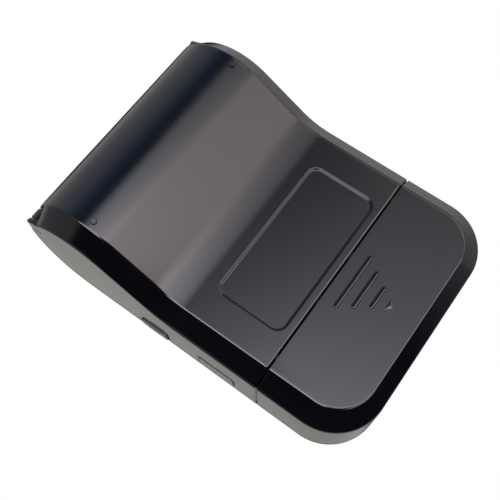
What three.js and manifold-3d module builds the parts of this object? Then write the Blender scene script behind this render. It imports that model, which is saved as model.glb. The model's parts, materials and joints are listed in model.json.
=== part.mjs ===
// A portable ticket printer: a case with a round paper bay at one end and a battery bay at the other, a cover
// that hinges at the roll end and carries the platen, and a thermal print mechanism between the two bays.
//
// The case frame has x to the right, y from the battery end to the roll end and z up from the flat underside.
// The whole case is then tipped so that it lies on its back as it does on a table: on the crease at the
// battery end and on the two small nubs under the paper bay. Lengths are millimetres.

import * as THREE from 'three';
import { mergeVertices } from 'three/addons/utils/BufferGeometryUtils.js';
import ManifoldModule from 'manifold-3d';

const wasm = await ManifoldModule();
wasm.setup();

// Case
const sideRoom = 8.4; // from the pieces across the middle out to the case's side, both walls and gears
const bulgeDepth = 13.2; // paper bay below the flat underside
const rollEndRadius = 19; // outside of the paper bay
const sweepRadius = 20.5; // hollow curve that leads from the flat into the slope
const slopeAngle = THREE.MathUtils.degToRad(30);
const sideHeight = 24.3; // top edge of the side walls
const faceHeight = 29.5; // the face with the buttons
const domeHeight = 33.8; // top of the paper cover
const wall = 1.8;
const gap = 0.3; // between pieces that meet
const runClearance = 0.15; // round a shaft in its bore
const overrun = 2; // how far a cut runs past what it cuts
const bevelRun = 5.5;
const bevelRise = 5.1;
const endBevelRun = 4.2;
const cornerRadius = 15;
const creaseRadius = 11;
const shoulderRun = 12;
const shoulderExponent = 2.4;
const cheekExponent = 2.7;
const seamY = 29.5; // joint between the battery door and the lower shell
const flatLength = 27.25; // from that joint to where the hollow curve begins
const cornerTipLength = 4.7; // where the bevel ends before the roll end's corner
const cornerTipZ = 0.1;

// Cover hinge
const hingeInset = 3.6;
const hingeZ = 1.6;
const knuckleRadius = 3.3;
const hingePinRadius = 1;
const hingeRelief = 4.2;
const knuckleInset = 4.8;
const cheekSkin = 1.3;
const notchLength = 4.9;
const armLength = 7.7;

// Rolls
const paper = { width: 57, side: 1.1, slack: 0.2, coreRadius: 7.6, coreThickness: 1.3 };
paper.radius = rollEndRadius - wall - paper.slack;
const bayY = seamY + flatLength + sweepRadius * Math.sin(slopeAngle) + slopeRun()
  + rollEndRadius * Math.sin(slopeAngle);
const bayZ = rollEndRadius - bulgeDepth;
const caseLength = bayY + rollEndRadius;

// Print mechanism
const platen = { clear: 4.8, z: 21.5, radius: 4.4, length: 57.2, side: 1, wallRadius: 4.5 };
platen.y = bayY - paper.radius - platen.clear;
const platenShaft = { radius: 1.5, over: 3.1 };
const bush = { radius: 3, length: 2.2 };
const slotWidth = 1.7;
const tear = { thickness: 0.6, over: 0.5, base: 26, height: 3.1, tooth: 1.5, toothDepth: 0.8 };
tear.width = paper.width + 2 * tear.over;
const head = { thickness: 1, height: 8.8, width: 56, side: 1.6, drop: 5 };
const heatsink = { thickness: 2.2, height: 9.2, inset: 1, drop: 5.3 };
heatsink.width = head.width - 2 * heatsink.inset;
head.base = platen.z - head.drop;
heatsink.base = platen.z - heatsink.drop;
const headPivot = { radius: 0.7, inset: 0.7, rise: 1, short: 0.4 };
const springWall = { thickness: 1.2, drop: 2.7, rise: 3.9 };
springWall.base = platen.z - springWall.drop;
springWall.top = platen.z + springWall.rise;
const headSpring = { x: 15, z: platen.z, length: 4.2, radius: 1.7, wire: 0.25, turns: 4 };
const gearModule = 0.5;
const tooth = { addendum: 0.8, dedendum: 1.2, backlash: 0.16, tipShare: 0.36, rootShare: 0.74 };
const gears = { platenTeeth: 18, smallTeeth: 12, largeTeeth: 32, pinionTeeth: 10 };
const gearStandoff = 0.6;
const gearWidth = 1.4;
const motor = { ahead: 13.9, under: 11, radius: 7.5, length: 14, hole: 1.6, shaftRadius: 0.75 };
motor.shaftDepth = 4;
motor.z = platen.z - motor.under;
const plate = { thickness: 1.3, foot: 2.4, shortfall: 2, chamfer: 1.7 };
plate.reach = platen.y - plate.shortfall;

// The side plates and the bay's walls stand clear of the widest piece between them
const insideHalf = Math.max(
  paper.width / 2 + paper.side,
  platen.length / 2 + platen.side,
  head.width / 2 + head.side,
);
plate.innerX = insideHalf;
platenShaft.endX = insideHalf + platenShaft.over;
headPivot.reach = insideHalf + plate.thickness - headPivot.short;
const gearPlaneX = -(insideHalf + plate.thickness + gearStandoff);

const halfWidth = insideHalf + sideRoom;
const halfFlat = halfWidth - bevelRun;
const innerHalf = halfWidth - wall;
const hingeY = caseLength - hingeInset;
const knuckleInnerX = halfWidth - knuckleInset;
const earOuterX = knuckleInnerX - gap;
const platenFrontY = platen.y - platen.radius;
const coverFrontY = platenFrontY;
const tearY = coverFrontY - slotWidth - tear.thickness;
const housingEndY = tearY - gap;
const housingBase = sideHeight + gap;
const shellStartY = seamY + gap / 2;
const doorEndY = seamY - gap / 2;

// Counts
const arcSteps = 5;
const baySteps = 14;
const cornerSteps = 7;
const shoulderSteps = 5;
const roundSides = 32;
const smallSides = 14;

// Materials
function material(color, roughness, metalness = 0) {
  return new THREE.MeshStandardMaterial({ color, roughness, metalness });
}
const glossBlack = material(0x17181b, 0.18);
const matteBlack = material(0x1d1d1f, 0.6);
const rubberBlack = material(0x161616, 0.85);
const steel = material(0xb4b6ba, 0.35, 1);
const brass = material(0xc9a552, 0.35, 1);
const aluminium = material(0xc3c6c9, 0.45, 1);
const whitePlastic = material(0xe6e4dc, 0.5);
const boardGreen = material(0x1f5a36, 0.5);
const chipBlack = material(0x202022, 0.55);
const ceramic = material(0x6b5a48, 0.25);
const paperWhite = material(0xf2f0e9, 0.9);
const cardboard = material(0xb08e62, 0.9);
const cellWrap = material(0x2d4f86, 0.4);
const clearLens = material(0xdfe6ea, 0.15);
const amberFilm = material(0xc07a2c, 0.4);

const lying = new THREE.Group();

// A solid from a closed geometry
function solid(geometry) {
  const bare = geometry.index ? geometry.toNonIndexed() : geometry.clone();
  for (const attribute of Object.keys(bare.attributes)) {
    if (attribute !== 'position') bare.deleteAttribute(attribute);
  }
  const merged = mergeVertices(bare, 1e-4);
  return new wasm.Manifold(new wasm.Mesh({
    numProp: 3,
    vertProperties: new Float32Array(merged.attributes.position.array),
    triVerts: new Uint32Array(merged.index.array),
  }));
}

function piece(name, body, surface) {
  const { vertProperties, triVerts } = body.getMesh();
  const geometry = new THREE.BufferGeometry();
  geometry.setAttribute('position', new THREE.BufferAttribute(new Float32Array(vertProperties), 3));
  geometry.setIndex(new THREE.BufferAttribute(new Uint32Array(triVerts), 1));
  geometry.computeVertexNormals();
  const mesh = new THREE.Mesh(geometry, surface);
  mesh.name = name;
  lying.add(mesh);
  return mesh;
}

function join(...bodies) {
  return bodies.reduce((whole, body) => whole.add(body));
}

function mirrored(build) {
  return join(build(1), build(-1));
}

// A box between two ends on each axis
function block([x0, x1], [y0, y1], [z0, z1]) {
  const [lowX, highX] = [Math.min(x0, x1), Math.max(x0, x1)];
  const box = new THREE.BoxGeometry(highX - lowX, y1 - y0, z1 - z0);
  box.translate((lowX + highX) / 2, (y0 + y1) / 2, (z0 + z1) / 2);
  return solid(box);
}

function shapeOf(points, holes = []) {
  const shape = new THREE.Shape(points.map(([u, v]) => new THREE.Vector2(u, v)));
  shape.holes = holes.map((hole) => new THREE.Path(hole.map(([u, v]) => new THREE.Vector2(u, v))));
  return shape;
}

// An outline in y and z, run along x
function prismX(points, x0, x1, holes = []) {
  const [low, high] = [Math.min(x0, x1), Math.max(x0, x1)];
  const settings = { depth: high - low, bevelEnabled: false };
  const geometry = new THREE.ExtrudeGeometry(shapeOf(points, holes), settings);
  const turn = new THREE.Matrix4().makeBasis(
    new THREE.Vector3(0, 1, 0), new THREE.Vector3(0, 0, 1), new THREE.Vector3(1, 0, 0));
  geometry.applyMatrix4(turn);
  geometry.translate(low, 0, 0);
  return solid(geometry);
}

// An outline in x and y, run along z
function prismZ(points, z0, z1, holes = []) {
  const geometry = new THREE.ExtrudeGeometry(shapeOf(points, holes), { depth: z1 - z0, bevelEnabled: false });
  geometry.translate(0, 0, z0);
  return solid(geometry);
}

function rodX(radius, x0, x1, y, z, sides = smallSides) {
  const rod = new THREE.CylinderGeometry(radius, radius, Math.abs(x1 - x0), sides);
  rod.rotateZ(Math.PI / 2);
  rod.translate((x0 + x1) / 2, y, z);
  return solid(rod);
}

function rodZ(radius, x, y, z0, z1, sides = smallSides) {
  const rod = new THREE.CylinderGeometry(radius, radius, z1 - z0, sides);
  rod.rotateX(Math.PI / 2);
  rod.translate(x, y, (z0 + z1) / 2);
  return solid(rod);
}

function ringOf(radius, sides, centre = [0, 0]) {
  return Array.from({ length: sides }, (_, k) => {
    const angle = (2 * Math.PI * k) / sides;
    return [centre[0] + radius * Math.cos(angle), centre[1] + radius * Math.sin(angle)];
  });
}

function arc(centre, radius, from, to, steps) {
  return Array.from({ length: steps + 1 }, (_, k) => {
    const angle = from + ((to - from) * k) / steps;
    return [centre[0] + radius * Math.cos(angle), centre[1] + radius * Math.sin(angle)];
  });
}

function roundedRectangle([x0, x1], [y0, y1], radius, steps = 3) {
  const quarter = Math.PI / 2;
  return [
    ...arc([x1 - radius, y0 + radius], radius, -quarter, 0, steps),
    ...arc([x1 - radius, y1 - radius], radius, 0, quarter, steps),
    ...arc([x0 + radius, y1 - radius], radius, quarter, 2 * quarter, steps),
    ...arc([x0 + radius, y0 + radius], radius, 2 * quarter, 3 * quarter, steps),
  ];
}

// A solid through flat closed rings of equally many points
function loft(rings) {
  const count = rings[0].length;
  const positions = rings.flat().flatMap((p) => [p.x, p.y, p.z]);
  const faces = [];
  for (let r = 0; r + 1 < rings.length; r += 1) {
    for (let k = 0; k < count; k += 1) {
      const a = r * count + k;
      const b = r * count + ((k + 1) % count);
      faces.push([a, b, b + count], [a, b + count, a + count]);
    }
  }
  const cap = (ring, offset, turn) => {
    const normal = new THREE.Vector3();
    ring.forEach((p, k) => normal.add(new THREE.Vector3().crossVectors(p, ring[(k + 1) % count])));
    const u = new THREE.Vector3(1, 0, 0);
    const v = new THREE.Vector3().crossVectors(normal.normalize(), u).normalize();
    const flat = ring.map((p) => new THREE.Vector2(p.dot(u), p.dot(v)));
    for (const [a, b, c] of THREE.ShapeUtils.triangulateShape(flat, [])) {
      faces.push(turn ? [offset + a, offset + c, offset + b] : [offset + a, offset + b, offset + c]);
    }
  };
  cap(rings[0], 0, true);
  cap(rings[rings.length - 1], (rings.length - 1) * count, false);
  const geometry = new THREE.BufferGeometry();
  geometry.setAttribute('position', new THREE.Float32BufferAttribute(positions, 3));
  const point = (k) => new THREE.Vector3(...positions.slice(3 * k, 3 * k + 3));
  const volume = faces.reduce((sum, [a, b, c]) => sum + point(a).dot(point(b).cross(point(c))), 0);
  geometry.setIndex(faces.flatMap(([a, b, c]) => (volume > 0 ? [a, b, c] : [a, c, b])));
  return solid(geometry);
}

// How far the straight slope runs along the case, between the hollow sweep and the round bay
function slopeRun() {
  const sweepDrop = sweepRadius * (1 - Math.cos(slopeAngle));
  const fall = bulgeDepth - rollEndRadius * (1 - Math.cos(slopeAngle)) - sweepDrop;
  return fall / Math.tan(slopeAngle);
}

// The curve of the underside in y and z, moved inward by a wall: sweep, slope and round bay
function undersideCurve(inset) {
  const sweepY = seamY + flatLength;
  const quarter = Math.PI / 2;
  return [
    ...arc([sweepY, -sweepRadius], sweepRadius + inset, quarter, quarter - slopeAngle, arcSteps),
    ...arc([bayY, bayZ], rollEndRadius - inset, -quarter - slopeAngle, 0, baySteps),
  ];
}

function undersideZ(y) {
  return bayZ - Math.sqrt(rollEndRadius ** 2 - (y - bayY) ** 2);
}

// The case below the side height: flat underside, bevels along both sides and the curve of the paper bay
function shellSolid(startY, inset, top) {
  const half = halfWidth - inset;
  const flat = halfFlat - (inset * bevelRun) / (bevelRun + bevelRise);
  const rise = ((half - flat) * bevelRise) / bevelRun;
  const tipY = caseLength - cornerTipLength;
  const tipStartZ = undersideZ(tipY) + bevelRise;
  const sideZ = (y, z) => {
    if (inset > 0 || y <= tipY) return z + rise;
    const tipLine = tipStartZ + ((cornerTipZ - tipStartZ) * (y - tipY)) / cornerTipLength;
    return Math.min(z + rise, tipLine);
  };
  const stations = [[startY, inset], ...undersideCurve(inset)];
  return loft(stations.map(([y, z]) => [
    [-half, top], [-half, sideZ(y, z)], [-flat, z], [flat, z], [half, sideZ(y, z)], [half, top],
  ].map(([x, height]) => new THREE.Vector3(x, y, height))));
}

// The rounded end of the side walls at the roll end
function cheekEnd(semiY, semiZ, angle) {
  const share = 2 / cheekExponent;
  return [bayY + semiY * Math.cos(angle) ** share, semiZ * Math.sin(angle) ** share];
}

function cheekPath(semiY, semiZ, lastAngle, steps) {
  return Array.from({ length: steps + 1 }, (_, k) => {
    const angle = Math.PI / 2 + ((lastAngle - Math.PI / 2) * k) / steps;
    return cheekEnd(semiY, semiZ, Math.max(angle, 0));
  });
}

// Outline of the battery end in plan: two straight sides and two round corners
function endOutline(half, frontY, radius, endY) {
  const quarter = Math.PI / 2;
  return [
    [-half, endY],
    ...arc([-half + radius, frontY + radius], radius, 2 * quarter, 3 * quarter, cornerSteps),
    ...arc([half - radius, frontY + radius], radius, 3 * quarter, 4 * quarter, cornerSteps),
    [half, endY],
  ];
}

function levelled(outline, z) {
  return outline.map(([x, y]) => new THREE.Vector3(x, y, z));
}

// The shoulder that leads from a side wall to a face: how far it has gone in and how far it has risen
function shoulderStep(k) {
  const angle = (Math.PI / 2) * (k / shoulderSteps);
  const power = 2 / shoulderExponent;
  return { inward: 1 - Math.cos(angle) ** power, rise: Math.sin(angle) ** power };
}

// Battery door: a cap over the battery end, with bevels, grip ribs and two inner rails
const gripCount = 3;
const grip = { height: 0.5, width: 1, spacing: 3.9, first: 4.7, longest: 17.6, shorter: 5.3, tip: 1.9 };
const rail = { inset: 3.2, z: 10.5, thickness: 1.2, startY: 13, endY: 22 };

function endCap(inset, endY, top) {
  const flat = halfFlat - (inset * bevelRun) / (bevelRun + bevelRise);
  const half = halfWidth - inset;
  const rise = ((half - flat) * bevelRise) / bevelRun;
  const frontBevel = endBevelRun + (inset * endBevelRun) / (endBevelRun + bevelRise);
  return loft([
    levelled(endOutline(flat, frontBevel, creaseRadius, endY), inset),
    levelled(endOutline(half, inset, cornerRadius - inset, endY), inset + rise),
    levelled(endOutline(half, inset, cornerRadius - inset, endY), top),
  ]);
}

function gripRibs() {
  const ribs = Array.from({ length: gripCount }, (_, k) => {
    const half = grip.longest / 2 - (grip.shorter * k) / 2;
    const y = seamY - grip.first - grip.spacing * k;
    return block([-half, half], [y - grip.width / 2, y + grip.width / 2], [-grip.height, gap]);
  });
  const tipY = seamY - grip.first - grip.spacing * gripCount + grip.width;
  const tip = [[0, tipY - grip.tip], [grip.tip, tipY], [-grip.tip, tipY]];
  return join(...ribs, prismZ(tip, -grip.height, gap));
}

function batteryDoor() {
  const hollow = endCap(wall, doorEndY + overrun, sideHeight + overrun);
  const shell = endCap(0, doorEndY, sideHeight).subtract(hollow);
  const rails = mirrored((side) => block(
    [side * (innerHalf - rail.inset), side * (innerHalf + gap)], [rail.startY, rail.endY],
    [rail.z, rail.z + rail.thickness]));
  return join(shell, rails, gripRibs());
}
piece('battery_door', batteryDoor(), glossBlack);

// Lower shell
const label = { width: 46.8, height: 21.1, fromSeam: 2.8, radius: 3, depth: 0.5 };
label.startY = seamY + label.fromSeam;
const bulkhead = { thickness: 1.65, top: 19.6 };
const tray = { ceiling: 18.2, inset: 10.2, side: 1.4, sideY: 9, foot: 2.3 };
tray.bayHalf = halfWidth - tray.inset;
const trayFront = { y: 3.4, corner: 3.8, base: 5 };
trayFront.half = tray.bayHalf - trayFront.corner;
const ledge = { z: 9, inset: 2.2 };
ledge.outerX = innerHalf - ledge.inset;
const screw = { headRadius: 1.9, headHeight: 1.2, radius: 0.9, hole: 1.2, bossRadius: 2.5 };
const caseScrew = { inset: 6.5, firstY: 9.5, fromSeam: 4 };
const caseScrewX = halfWidth - caseScrew.inset;
const caseScrewYs = [caseScrew.firstY, seamY - caseScrew.fromSeam];
const mechScrew = { inset: 5.6, ahead: 4.9, bossTop: 1.9, holeBase: 0, shankBase: 1.2 };
mechScrew.x = insideHalf - mechScrew.inset;
mechScrew.y = platen.y - mechScrew.ahead;
const bayWall = { x: insideHalf, thickness: 1.4, ahead: 16.2, behind: 6.8, top: 12 };
bayWall.startY = bayY - bayWall.ahead;
bayWall.shoulderY = bayY + bayWall.behind;
const hingeEar = { behind: 9.3, top: 5.4 };
hingeEar.startY = bayY + hingeEar.behind;
const nub = { radius: 0.9, height: 0.5, inset: 2.2 };
nub.x = halfFlat - nub.inset;
const button = { ahead: 2.4, length: 9.6, drop: 2, height: 4.2, proud: 0.5, travel: 1.2 };
button.y = platen.y - button.ahead;
button.base = platen.z - button.drop;
const pinSlot = { ahead: 1.2, length: 2.8, z: 3.3, height: 0.6 };
pinSlot.y = hingeY - pinSlot.ahead;
const boardPost = { radius: 1.8, inset: 6, fromSeam: 3.5 };
const board = { base: 20.4, thickness: 1.2, inset: 10, startY: 5.5, back: 1.7, earInset: 1.8 };
board.half = halfWidth - board.inset;
board.earX = innerHalf - board.earInset;
boardPost.x = board.half - boardPost.inset;
boardPost.y = seamY - boardPost.fromSeam;
const headBackY = platenFrontY - gap - head.thickness;
const sinkBackY = headBackY - gap - heatsink.thickness;
const wallY = sinkBackY - gap - headSpring.length - gap - springWall.thickness;
const boardEndY = wallY - board.back;
const port = { ahead: 14.9, length: 12, base: 16.6, height: 5.8, depth: 1, proud: 0.2 };
port.startY = boardEndY - port.ahead;
const socket = { width: 8.4, height: 2.5, drop: 0.3, off: 0.3, inset: 0.6, wall: 0.35, mouthDepth: 5 };
socket.top = board.base - socket.drop;
socket.innerX = board.half + socket.off;
socket.mouthX = innerHalf - socket.inset;

const creaseY = endBevelRun;
const nubReach = rollEndRadius + nub.height;
const creaseToBay = Math.hypot(bayY - creaseY, bayZ);
const restTilt = Math.asin(nubReach / creaseToBay) - Math.atan2(bayZ, bayY - creaseY);

const socketY = port.startY + port.length / 2;
const trayHalf = innerHalf - gap;

// The two nubs stand square on the bay where the tabletop touches it
function nubs() {
  return mirrored((side) => {
    const post = new THREE.CylinderGeometry(nub.radius, nub.radius, wall + nub.height, smallSides);
    post.rotateX(Math.PI / 2);
    post.translate(side * nub.x, 0, -(nubReach - (wall + nub.height) / 2));
    post.rotateX(-restTilt);
    post.translate(0, bayY, bayZ);
    return solid(post);
  });
}

function batteryTray() {
  const endY = shellStartY + bulkhead.thickness;
  const outerX = tray.bayHalf + tray.side;
  const frontY = trayFront.y + tray.side;
  const outline = endOutline(trayHalf, wall + gap, cornerRadius - wall - gap, endY);
  const ceiling = prismZ(outline, tray.ceiling, bulkhead.top);
  const sides = mirrored((side) => block(
    [side * tray.bayHalf, side * outerX], [tray.sideY, endY], [tray.foot, bulkhead.top]));
  const front = block([-trayFront.half, trayFront.half], [trayFront.y, frontY],
    [trayFront.base, bulkhead.top]);
  const ledges = mirrored((side) => block(
    [side * tray.bayHalf, side * ledge.outerX], [rail.startY, rail.endY], [ledge.z, rail.z - gap]));
  const posts = mirrored((side) => rodZ(boardPost.radius, side * boardPost.x, boardPost.y,
    tray.ceiling, board.base - gap));
  return join(ceiling, sides, front, ledges, posts);
}

// What leaves the roll end: the space of the cover and its hinge sweep above the bay's rear wall
function rearRelief(radius) {
  const far = caseLength + overrun * overrun;
  const above = domeHeight + overrun;
  return [
    [bayY, above], [bayY, bayZ], [hingeY, hingeZ + radius],
    ...arc([hingeY, hingeZ], radius, Math.PI / 2, 0, arcSteps + 2),
    [far, hingeZ], [far, above],
  ];
}

function bayPartitions(outer) {
  const floor = -bulgeDepth - overrun;
  const outline = [
    [bayWall.startY, floor], [caseLength, floor], [caseLength, hingeEar.top],
    [hingeEar.startY, hingeEar.top], [bayWall.shoulderY, bayWall.top], [bayWall.startY, bayWall.top],
  ];
  const ear = [
    [hingeEar.startY, floor], [caseLength, floor], [caseLength, hingeEar.top],
    [hingeEar.startY, hingeEar.top],
  ];
  return mirrored((side) => join(
    prismX(outline, side * bayWall.x, side * (bayWall.x + bayWall.thickness)),
    prismX(ear, side * bayWall.x, side * earOuterX),
  )).intersect(outer);
}

// The cut at each rear corner that the cover's knuckle turns in
function cornerNotches() {
  const skinX = halfWidth - cheekSkin;
  const far = caseLength + overrun;
  const low = -bulgeDepth - overrun;
  return mirrored((side) => join(
    block([side * earOuterX, side * skinX], [caseLength - notchLength, far], [low, sideHeight - overrun]),
    block([side * earOuterX, side * skinX], [caseLength - armLength, far],
      [hingeZ - knuckleRadius - 2 * gap, sideHeight - overrun]),
  ));
}

function portRecess() {
  const high = port.startY + port.length + gap;
  const recess = block([halfWidth - port.depth - gap / 2, halfWidth + overrun],
    [port.startY - gap, high], [port.base - gap, port.base + port.height + gap]);
  const window = block([innerHalf - overrun, halfWidth + overrun],
    [socketY - socket.width / 2 - gap, socketY + socket.width / 2 + gap],
    [socket.top - socket.height - gap, socket.top + gap]);
  return recess.add(window);
}

function lowerShell() {
  const far = caseLength + overrun;
  const outer = shellSolid(shellStartY, 0, sideHeight);
  const hollow = shellSolid(shellStartY + bulkhead.thickness, wall, sideHeight + overrun);
  const bulkheadEndY = shellStartY + bulkhead.thickness;
  const overBulkhead = block([-innerHalf, innerHalf], [shellStartY - overrun, bulkheadEndY + overrun],
    [bulkhead.top, sideHeight + overrun]);
  const cheeks = prismX([
    [-overrun, -bulgeDepth - overrun], [far, -bulgeDepth - overrun], [bayY + rollEndRadius - gap, 0],
    ...cheekPath(rollEndRadius - gap, sideHeight, 0, baySteps).reverse().slice(1),
    [-overrun, sideHeight],
  ], -halfWidth - overrun, halfWidth + overrun);
  const middle = block([-earOuterX, earOuterX], [-overrun, far], [-bulgeDepth - overrun, bayZ]);
  const shell = outer.subtract(hollow).subtract(overBulkhead);
  const bosses = mirrored((side) => rodZ(
    screw.bossRadius, side * mechScrew.x, mechScrew.y, -bulgeDepth, mechScrew.bossTop)).intersect(outer);
  const whole = join(shell, bayPartitions(outer), bosses).intersect(join(cheeks, middle));
  const relief = prismX(rearRelief(hingeRelief), -innerHalf, innerHalf);
  const labelRecess = prismZ(roundedRectangle([-label.width / 2, label.width / 2],
    [label.startY, label.startY + label.height], label.radius), -overrun, label.depth);
  const pinHoles = mirrored((side) => rodX(hingePinRadius + runClearance,
    side * (bayWall.x - overrun), side * (halfWidth - cheekSkin / 2), hingeY, hingeZ));
  const slots = mirrored((side) => block([side * (innerHalf - overrun), side * (halfWidth + overrun)],
    [pinSlot.y, pinSlot.y + pinSlot.length], [pinSlot.z, pinSlot.z + pinSlot.height]));
  const buttonHole = block([innerHalf - overrun, halfWidth + overrun],
    [button.y - button.length / 2 - gap, button.y + button.length / 2 + gap],
    [button.base - gap, button.base + button.height + gap]);
  const screwHoles = mirrored((side) => rodZ(screw.hole, side * mechScrew.x, mechScrew.y,
    mechScrew.holeBase, mechScrew.bossTop + overrun));
  const armPocket = mirrored((side) => block([side * (innerHalf - overrun), side * (halfWidth - cheekSkin)],
    [caseLength - armLength, far], [-overrun, sideHeight - overrun]));
  const trayHoles = mirrored((side) => join(...caseScrewYs.map((y) => rodZ(
    screw.hole, side * caseScrewX, y, tray.ceiling - overrun, bulkhead.top + overrun))));
  return join(
    whole.subtract(join(relief, cornerNotches(), armPocket)),
    nubs(),
    batteryTray(),
  ).subtract(join(labelRecess, pinHoles, slots, buttonHole, screwHoles, portRecess(), trayHoles));
}

// Main board and what stands on it
const boardTop = board.base + board.thickness;
const partBase = boardTop + gap;
const headPivotCentre = [sinkBackY + headPivot.inset, heatsink.base + headPivot.rise];
const keys = { x: 14, y: 17, halfLength: 6, halfWidth: 3.6, proud: 0.6, travel: 0.5, flange: 0.8, stem: 1.5 };
const tact = { size: 6, height: 2.3, plunger: 1.7, plungerHeight: 0.3 };
const lens = { radius: 1.1, spacing: 8, y: 34, height: 3.4, proud: 0.1 };

piece('lower_shell', lowerShell(), glossBlack);

// Upper housing: the face with the buttons and lights, down to the side walls
function housingSolid(inset, endY, base) {
  const top = faceHeight - inset;
  const rings = Array.from({ length: shoulderSteps + 1 }, (_, k) => {
    const { inward, rise } = shoulderStep(k);
    const inside = inset + inward * (shoulderRun - inset);
    return levelled(endOutline(halfWidth - inside, inside, cornerRadius - inside, endY),
      housingBase + rise * (top - housingBase));
  });
  const skirt = levelled(endOutline(halfWidth - inset, inset, cornerRadius - inset, endY), base);
  return base < housingBase ? loft([skirt, ...rings]) : loft(rings);
}

function stadium(halfLength, radius, [x, y]) {
  const side = halfLength - radius;
  const quarter = Math.PI / 2;
  return [
    ...arc([x + side, y], radius, -quarter, quarter, arcSteps),
    ...arc([x - side, y], radius, quarter, 3 * quarter, arcSteps),
  ];
}

function upperHousing() {
  const lip = 1.2;
  const shell = housingSolid(0, housingEndY, housingBase)
    .subtract(housingSolid(wall, housingEndY - lip, housingBase - overrun));
  const posts = mirrored((side) => join(...caseScrewYs.map((y) => rodZ(
    screw.bossRadius, side * caseScrewX, y, bulkhead.top + gap, faceHeight - wall))));
  const headRoom = block([-plate.innerX - plate.thickness - gap, plate.innerX + plate.thickness + gap],
    [housingEndY - lip - overrun, housingEndY + overrun], [housingBase - overrun, springWall.top + gap]);
  const keyHoles = mirrored((side) => prismZ(
    stadium(keys.halfLength + gap, keys.halfWidth + gap, [side * keys.x, keys.y]),
    faceHeight - wall - overrun, faceHeight + overrun));
  const lensHoles = join(...[-1, 0, 1].map((k) => rodZ(
    lens.radius + gap, k * lens.spacing, lens.y, faceHeight - wall - overrun, faceHeight + overrun)));
  const screwHoles = mirrored((side) => join(...caseScrewYs.map((y) => rodZ(
    screw.hole, side * caseScrewX, y, bulkhead.top, faceHeight - wall - 2 * screw.headHeight))));
  return join(shell.subtract(headRoom), posts).subtract(join(keyHoles, lensHoles, screwHoles));
}
piece('upper_housing', upperHousing(), glossBlack);

for (const [name, side] of [['power_button', -1], ['feed_button', 1]]) {
  const centre = [side * keys.x, keys.y];
  const flangeTop = faceHeight - wall - gap;
  const stemBase = partBase + tact.height + tact.plungerHeight + gap + keys.travel;
  const cap = prismZ(stadium(keys.halfLength, keys.halfWidth, centre),
    flangeTop - keys.flange, faceHeight + keys.proud);
  const rim = prismZ(stadium(keys.halfLength + keys.flange, keys.halfWidth + keys.flange, centre),
    flangeTop - keys.flange, flangeTop);
  const stem = rodZ(keys.stem, ...centre, stemBase, flangeTop);
  piece(name, join(cap, rim, stem), matteBlack);
}

for (const [name, side] of [['power_switch', -1], ['feed_switch', 1]]) {
  const half = tact.size / 2;
  const body = block([side * keys.x - half, side * keys.x + half], [keys.y - half, keys.y + half],
    [partBase, partBase + tact.height]);
  const plunger = rodZ(tact.plunger, side * keys.x, keys.y, partBase + tact.height - gap,
    partBase + tact.height + tact.plungerHeight);
  piece(name, body.add(plunger), steel);
}

for (const [name, k] of [['power_lens', -1], ['link_lens', 0], ['paper_lens', 1]]) {
  piece(name, rodZ(lens.radius, k * lens.spacing, lens.y, faceHeight + lens.proud - lens.height,
    faceHeight + lens.proud), clearLens);
}

// Paper cover: a dome over the roll with skirts inside the side walls, platen ears and hinge arms
const cover = { wall: 2, crownRadius: 82, skirt: 6, skirtWall: 1.8, skirtAhead: 16.7, endAngleShare: 0.09 };
cover.skirtStartY = bayY - cover.skirtAhead;
const slotHalf = tear.width / 2 + gap;
const arm = { inset: 1, width: 4.5, waistZ: 11, topZ: 15.4 };
const coverSemiY = rollEndRadius;
const coverSemiZ = housingBase;
const skirtX = innerHalf - gap;

function crownZ(y) {
  const crown = domeHeight - cover.crownRadius + Math.sqrt(cover.crownRadius ** 2 - (bayY - y) ** 2);
  return Math.max(crown, faceHeight);
}

// Side edge and top of the cover at each station from the paper slot round to the hinge
function coverStations(inset, frontY, lastAngle) {
  const flatSteps = 5;
  const front = Array.from({ length: flatSteps }, (_, k) => {
    const y = frontY + ((bayY - frontY) * k) / flatSteps;
    return { side: [y, housingBase - inset], top: [y, crownZ(y) - inset] };
  });
  const round = Array.from({ length: baySteps }, (_, k) => {
    const angle = Math.PI / 2 + ((lastAngle - Math.PI / 2) * k) / (baySteps - 1);
    const [semiY, semiZ] = [rollEndRadius - inset, domeHeight - inset - bayZ];
    return {
      side: cheekEnd(coverSemiY - inset, coverSemiZ - inset, Math.max(angle, 0)),
      top: [bayY + semiY * Math.cos(angle), bayZ + semiZ * Math.sin(angle)],
    };
  });
  return [...front, ...round];
}

function domeSolid(inset, half, frontY, lastAngle, depth) {
  const run = shoulderRun - inset;
  const steps = Array.from({ length: shoulderSteps + 1 }, (_, k) => shoulderStep(k));
  return loft(coverStations(inset, frontY, lastAngle).map(({ side, top }) => {
    const direction = new THREE.Vector2(top[0] - side[0], top[1] - side[1]).normalize();
    const at = (x, rise) => new THREE.Vector3(x,
      side[0] + (top[0] - side[0]) * rise, side[1] + (top[1] - side[1]) * rise);
    const over = [
      ...steps.map(({ inward, rise }) => at(-half + inward * run, rise)),
      ...steps.slice().reverse().map(({ inward, rise }) => at(half - inward * run, rise)),
    ];
    if (depth === 0) return over;
    const below = (x) => new THREE.Vector3(x, side[0] - direction.x * depth, side[1] - direction.y * depth);
    return [...over, below(half), below(-half)];
  }));
}

function platenEar(side) {
  const { y, z, wallRadius } = platen;
  const outline = [
    ...arc([y, z], wallRadius, -Math.PI, 0, roundSides / 4),
    [y + wallRadius, crownZ(y) - cover.wall / 2], [y - wallRadius + cover.wall, crownZ(y) - cover.wall / 2],
    [y - wallRadius, springWall.top],
  ];
  return prismX(outline, side * (plate.innerX - gap), side * (plate.innerX + plate.thickness));
}

// Rear of the cover in the middle, seen from the side
function coverRearY(z) {
  return bayY + rollEndRadius * Math.sqrt(1 - ((z - bayZ) / (domeHeight - bayZ)) ** 2);
}

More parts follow.
